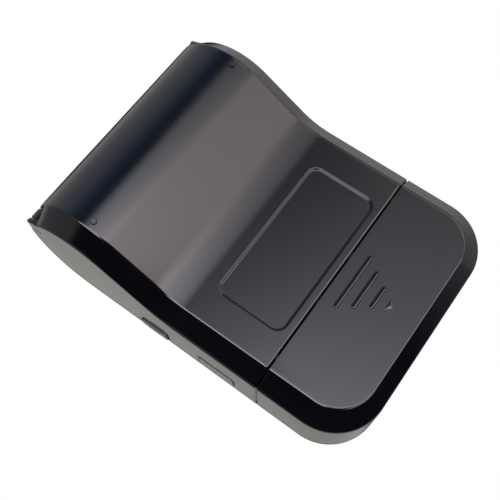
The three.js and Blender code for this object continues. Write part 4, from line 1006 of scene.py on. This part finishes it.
def surface(name, colour, roughness, metallic=0.0, vary=0.1, grain=300, stretch=(1, 1, 1),
            spread=0.06, bump=0.02, grit=1500, **shader):
    """A moulded, rolled or coated surface: slow colour and roughness variation and a fine grain."""
    made, tree, principled = new_material(name)
    place = node(tree, "ShaderNodeTexCoord", out="Object")
    scaled = node(tree, "ShaderNodeMapping", in_Vector=place, in_Scale=stretch)
    noise = node(tree, "ShaderNodeTexNoise", in_Vector=scaled, in_Scale=grain, in_Detail=3.0)
    ramp = new_node(tree, "ShaderNodeValToRGB", in_Fac=noise)
    low, high = ramp.color_ramp.elements
    low.position, high.position = NOISE_SPAN
    low.color = (*[c * (1 - vary) for c in colour], 1)
    high.color = (*[min(c * (1 + vary), 1) for c in colour], 1)
    gloss = node(tree, "ShaderNodeMapRange", noise, *NOISE_SPAN, max(roughness - spread, LEAST_ROUGHNESS),
                 min(roughness + spread, 1))
    fine = node(tree, "ShaderNodeTexNoise", in_Vector=scaled, in_Scale=grit, in_Detail=2.0)
    relief = node(tree, "ShaderNodeBump", in_Height=fine, in_Strength=bump, in_Distance=BUMP_DEPTH)
    wanted = {"Base Color": ramp.outputs[0], "Roughness": gloss, "Normal": relief, "Metallic": metallic,
              **shader}
    for socket, value in wanted.items():
        feed(tree, principled.inputs[socket], value)
    return made


BRUSHED = (1, 14, 14)
FINISHES = {
    "gloss_black": ((0.0015, 0.0015, 0.0018), 0.14,
                    dict(vary=0.3, grain=60, spread=0.02, grit=500, IOR=1.8)),
    "matte_black": ((0.016, 0.016, 0.017), 0.5, dict(vary=0.15, bump=0.4, grit=5000)),
    "rubber_black": ((0.012, 0.012, 0.012), 0.7, dict(vary=0.2, bump=0.3, grit=4000)),
    "steel": ((0.6, 0.61, 0.63), 0.3, dict(metallic=1.0, vary=0.06, grain=500, stretch=BRUSHED, bump=0.1)),
    "brass": ((0.76, 0.58, 0.27), 0.3, dict(metallic=1.0, vary=0.08, grain=600, bump=0.1)),
    "aluminium": ((0.74, 0.75, 0.77), 0.38,
                  dict(metallic=1.0, vary=0.06, grain=500, stretch=BRUSHED, bump=0.15)),
    "white_plastic": ((0.82, 0.81, 0.77), 0.42, dict(vary=0.03, bump=0.1)),
    "circuit_board": ((0.02, 0.14, 0.06), 0.35, dict(vary=0.25, grain=900, bump=0.2)),
    "chip_black": ((0.02, 0.02, 0.021), 0.5, dict(vary=0.15, bump=0.3, grit=6000)),
    "ceramic": ((0.3, 0.22, 0.15), 0.2, dict(vary=0.08, grain=400)),
    "paper": ((0.86, 0.85, 0.82), 0.75, dict(vary=0.03, grain=900, bump=0.15)),
    "cardboard": ((0.42, 0.27, 0.14), 0.85, dict(vary=0.18, grain=1200, bump=0.5)),
    "cell_wrap": ((0.02, 0.09, 0.3), 0.28, dict(vary=0.08, grain=150, bump=0.15, grit=250)),
    "clear_lens": ((0.7, 0.73, 0.76), 0.25, dict(vary=0.04, bump=0.05)),
    "amber_film": ((0.5, 0.2, 0.03), 0.3, dict(bump=0.05)),
}
MATERIALS = {slot: surface(slot.replace("_", " "), *looks, **rest)
             for slot, (*looks, rest) in FINISHES.items()}
SHARP_ANGLE = radians(32)
BEVEL_WIDTH = 0.00008
BEVEL_ANGLE = radians(40)


def finish(obj, slot):
    obj.data.materials.clear()
    obj.data.materials.append(MATERIALS[slot])


def keep_flat(obj):
    obj.modifiers.new("flat faces stay flat", "WEIGHTED_NORMAL").keep_sharp = True


def dress(obj, name, body, slot):
    obj.name = obj.data.name = f"fine_{name}"
    obj.data.transform(PLACE)
    finish(obj, slot)
    obj.data.shade_smooth()
    obj.data.set_sharp_from_angle(angle=SHARP_ANGLE)
    keep_flat(obj)
    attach(obj, body)
    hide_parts(name)


PIECES = [
    (lower_shell(), "lower_shell", "case", "gloss_black"),
    (battery_door(), "battery_door", "door", "gloss_black"),
    (upper_housing(), "upper_housing", "case", "gloss_black"),
    (paper_cover(), "paper_cover", "cover", "gloss_black"),
    (key_cap(-1), "power_button", "power_key", "matte_black"),
    (key_cap(1), "feed_button", "feed_key", "matte_black"),
    (lens(-1), "power_lens", "case", "clear_lens"),
    (lens(0), "link_lens", "case", "clear_lens"),
    (lens(1), "paper_lens", "case", "clear_lens"),
    (port_cover(), "port_cover", "port_flap", "gloss_black"),
    (release_button(), "release_button", "release", "gloss_black"),
    (paper_roll(), "paper_roll", "roll", "paper"),
    (platen_roller(), "platen_roller", "platen", "rubber_black"),
    (battery_pack(), "battery_pack", "case", "cell_wrap"),
    *[(screw(*where), name, "case", "steel") for name, where in SCREWS.items()],
]
for piece in PIECES:
    dress(*piece)

# CAD nodes that stay: each gets its slot's finish and a small bevel
SLOTS = {part["node"]: part["material_slot"] for part in frame["record"]["subparts"]}
for name, held in nodes.items():
    if not held.hide_render:
        finish(held, SLOTS[name])
        bevel = held.modifiers.new("eased edges", "BEVEL")
        bevel.width, bevel.segments = BEVEL_WIDTH, 2
        bevel.limit_method, bevel.angle_limit = "ANGLE", BEVEL_ANGLE
        keep_flat(held)


# Studio: a pale floor seen only from above, and a white world whose reflections have a lit and a dark side
def maths(tree, operation, *values):
    return node(tree, "ShaderNodeMath", *values, operation=operation)


def combined(tree, operation, values):
    whole = values[0]
    for value in values[1:]:
        whole = maths(tree, operation, whole, value)
    return whole


def step(tree, value, start, end):
    return node(tree, "ShaderNodeMapRange", value, start, end, interpolation_type="SMOOTHSTEP")


def ramped(tree, value, reach, stops, peak):
    """A colour that follows a value, from -reach to reach, through stops."""
    ramp = new_node(tree, "ShaderNodeValToRGB", node(tree, "ShaderNodeMapRange", value, -reach, reach))
    elements = ramp.color_ramp.elements
    while len(elements) < len(stops):
        elements.new(0.5)
    for element, (at, colour) in zip(elements, stops):
        element.position = (at + reach) / (2 * reach)
        colour = colour if isinstance(colour, tuple) else (colour,) * 3
        element.color = (*[c / peak for c in colour], 1)
    return ramp.outputs[0]


def mixed(tree, share, first, second, blend="MIX"):
    made = new_node(tree, "ShaderNodeMix", share, data_type="RGBA", blend_type=blend)
    colours = [s for s in made.inputs if s.type == "RGBA"]
    feed(tree, colours[0], first)
    feed(tree, colours[1], second)
    return [s for s in made.outputs if s.type == "RGBA"][0]


def blend(tree, share, first, second):
    return node(tree, "ShaderNodeMixShader", share, first, second)


FLOOR = Sizes(reach=3, white_from=0.12, white_to=0.45, grey=0.86, roughness=0.9)


def add_floor():
    mesh = bpy.data.meshes.new("floor")
    reach = FLOOR.reach
    mesh.from_pydata([(-reach, -reach, 0), (reach, -reach, 0), (reach, reach, 0), (-reach, reach, 0)], [],
                     [(0, 1, 2, 3)])
    floor = placed("floor", mesh)
    paint, tree, principled = new_material("floor")
    principled.inputs["Base Color"].default_value = (*[FLOOR.grey] * 3, 1)
    principled.inputs["Roughness"].default_value = FLOOR.roughness
    spot = node(tree, "ShaderNodeTexCoord", out="Object")
    far_out = node(tree, "ShaderNodeVectorMath", spot, operation="LENGTH", out="Value")
    white = node(tree, "ShaderNodeEmission", (1, 1, 1, 1), 1.0)
    fade = step(tree, far_out, FLOOR.white_from, FLOOR.white_to)
    above = blend(tree, fade, principled.outputs["BSDF"], white)
    below = node(tree, "ShaderNodeBsdfTransparent")
    whole = blend(tree, node(tree, "ShaderNodeNewGeometry", out="Backfacing"), above, below)
    tree.links.new(whole, tree.nodes["Material Output"].inputs["Surface"])
    mesh.materials.append(paint)
    floor.visible_diffuse = floor.visible_glossy = floor.visible_shadow = False


# Reflected light by the angle about the printer's width, 0 straight below and positive towards the roll end
PEAK = 6
STUDIO = [
    (-180, (0.48, 0.48, 0.45)), (-158, 0.42), (-125, (0.32, 0.32, 0.34)),
    (-95, (0.3, 0.3, 0.34)), (-78, (0.3, 0.3, 0.33)), (-60, (0.36, 0.35, 0.38)), (-53, (0.5, 0.48, 0.5)),
    (-47, (1.1, 0.99, 1.01)), (-42, (1.85, 1.64, 1.66)), (-33, (1.7, 1.52, 1.55)),
    (-18, (1.22, 1.15, 1.22)), (-5, (1.02, 0.99, 1.08)), (3, (0.86, 0.84, 0.93)), (7, (0.78, 0.76, 0.84)),
    (10, (0.52, 0.51, 0.56)), (13, (0.41, 0.4, 0.46)), (15.5, (0.32, 0.32, 0.39)), (18, (0.1, 0.13, 0.21)),
    (26, (0.06, 0.1, 0.18)), (34, (0.07, 0.12, 0.21)), (44, (0.14, 0.2, 0.31)), (55, (0.26, 0.31, 0.43)),
    (72, (0.34, 0.38, 0.46)), (90, (0.41, 0.42, 0.44)), (112, 0.5), (135, 0.45),
    (158, (0.56, 0.55, 0.52)), (180, (0.5, 0.49, 0.46)),
]
# Across the width the light below grows from the far side to the near side
ACROSS_PEAK = 4
ACROSS = [
    (-1, 0.45), (-0.53, 0.5), (-0.46, 0.66), (-0.4, 0.86), (-0.35, 1.0), (-0.3, 1.22), (-0.25, 1.48),
    (-0.2, 1.9), (0, 2.3), (0.3, 2.3), (0.42, 0.7), (1, 0.5),
]
BELOW = [(-180, 0), (-57, 0), (-45, 0.05), (-39, 0.32), (-27, 1), (15, 1), (22, 0), (180, 0)]
# Patches over that light: each a colour and the masks that show it. A mask is the product of soft steps, and
# each step reads a direction's x, y, z, angle or slant and runs from where it begins to where it is full
SLANT = (0.592, -0.806)
PATCHES = [
    # The near side is grey
    ((0.22, 0.22, 0.24), [[("x", 0.2, 0.36), ("angle", 14, 22)]]),
    # Shade towards the near corner of the battery end, along the near rim and behind
    ((0.012, 0.014, 0.03), [[("slant", 0.36, 0.56), ("z", 0.6, 0.45)],
                            [("x", 0.84, 0.9), ("z", -0.02, -0.12)],
                            [("x", -0.12, -0.24), ("z", 0.5, 0.65)]]),
    # Narrow strips below light the soft edges that turn to the battery end, the far side and the near side
    ((3.0, 3.0, 3.05), [[("angle", -47, -52), ("angle", -65, -60), ("x", 0.6, 0.45), ("x", -0.56, -0.48)]]),
    ((2.3, 2.2, 2.4), [[("x", -0.54, -0.59), ("x", -0.74, -0.68), ("angle", -22, -15), ("angle", 20, 13)]]),
    ((4.4, 4.3, 4.5), [[("x", 0.42, 0.52), ("x", 0.82, 0.76), ("z", -0.56, -0.62), ("y", -0.26, -0.14),
                        ("y", 0.46, 0.36)]]),
]
SURROUND = 0.6


def add_world():
    world = bpy.data.worlds.new("studio")
    bpy.context.scene.world = world
    world.use_nodes = True
    tree = world.node_tree
    tree.nodes.clear()
    place = node(tree, "ShaderNodeTexCoord", out="Generated")
    turn = node(tree, "ShaderNodeVectorRotate", rotation_type="X_AXIS", in_Vector=place, in_Angle=-TILT)
    x, y, z = new_node(tree, "ShaderNodeSeparateXYZ", turn).outputs
    around = maths(tree, "ARCTAN2", y, maths(tree, "MULTIPLY", z, -1.0))
    angle = maths(tree, "MULTIPLY", around, 180 / pi)
    slant = maths(tree, "ADD", maths(tree, "MULTIPLY", x, SLANT[0]), maths(tree, "MULTIPLY", y, SLANT[1]))
    read = {"x": x, "y": y, "z": z, "angle": angle, "slant": slant}
    light = ramped(tree, angle, 180, STUDIO, PEAK)
    across = ramped(tree, x, 1, ACROSS, ACROSS_PEAK)
    below = ramped(tree, angle, 180, BELOW, 1)
    even = (*[1 / ACROSS_PEAK] * 3, 1)
    light = mixed(tree, 1.0, light, mixed(tree, below, even, across), "MULTIPLY")
    for colour, masks in PATCHES:
        shares = [combined(tree, "MULTIPLY", [step(tree, read[name], *ends) for name, *ends in mask])
                  for mask in masks]
        light = mixed(tree, combined(tree, "MAXIMUM", shares), light,
                      (*[c / PEAK / ACROSS_PEAK for c in colour], 1))

    soft, studio, white = [node(tree, "ShaderNodeBackground", colour, strength) for colour, strength in (
        ((1, 1, 1, 1), SURROUND), (light, PEAK * ACROSS_PEAK), ((1, 1, 1, 1), 1.0))]
    path = new_node(tree, "ShaderNodeLightPath").outputs
    seen = maths(tree, "MAXIMUM", path["Is Camera Ray"], path["Is Transmission Ray"])
    whole = blend(tree, seen, blend(tree, path["Is Glossy Ray"], soft, studio), white)
    new_node(tree, "ShaderNodeOutputWorld", whole)


AIM = (0, 0, 0.02)
LAMPS = [("key", (-0.5, -0.4, 0.9), 0.5, 9), ("fill", (0.3, 0.8, 0.5), 0.7, 4)]


def add_lamp(name, place, size, power):
    data = bpy.data.lights.new(name, "AREA")
    data.shape = "SQUARE"
    data.size = size
    data.energy = power
    lamp = placed(name, data)
    lamp.location = place
    lamp.visible_glossy = False
    lamp.rotation_mode = "QUATERNION"
    lamp.rotation_quaternion = (Vector(AIM) - Vector(place)).to_track_quat("-Z", "Y")


# Camera: place and directions in the case frame, fitted to the photograph's outline, creases and corners
CAMERA = Sizes(place=(71.114, 4.682, -189.730), forward=(-0.3037, 0.2339, 0.9236),
               up=(-0.7497, 0.5395, -0.3832), lens=53.91, sensor=36, clip=0.01)


def add_camera():
    data = bpy.data.cameras.new("camera")
    data.lens = CAMERA.lens
    data.sensor_width = CAMERA.sensor
    data.clip_start = CAMERA.clip
    camera = placed("camera", data)
    forward = (TIP.to_3x3() @ Vector(CAMERA.forward)).normalized()
    up = TIP.to_3x3() @ Vector(CAMERA.up)
    right = forward.cross(up).normalized()
    up = right.cross(forward)
    turn = Matrix((right, up, -forward)).transposed().to_4x4()
    camera.matrix_world = Matrix.Translation(PLACE @ Vector(CAMERA.place)) @ turn
    bpy.context.scene.camera = camera


add_floor()
add_world()
for lamp in LAMPS:
    add_lamp(*lamp)
add_camera()
bpy.context.scene.view_settings.view_transform = "Standard"
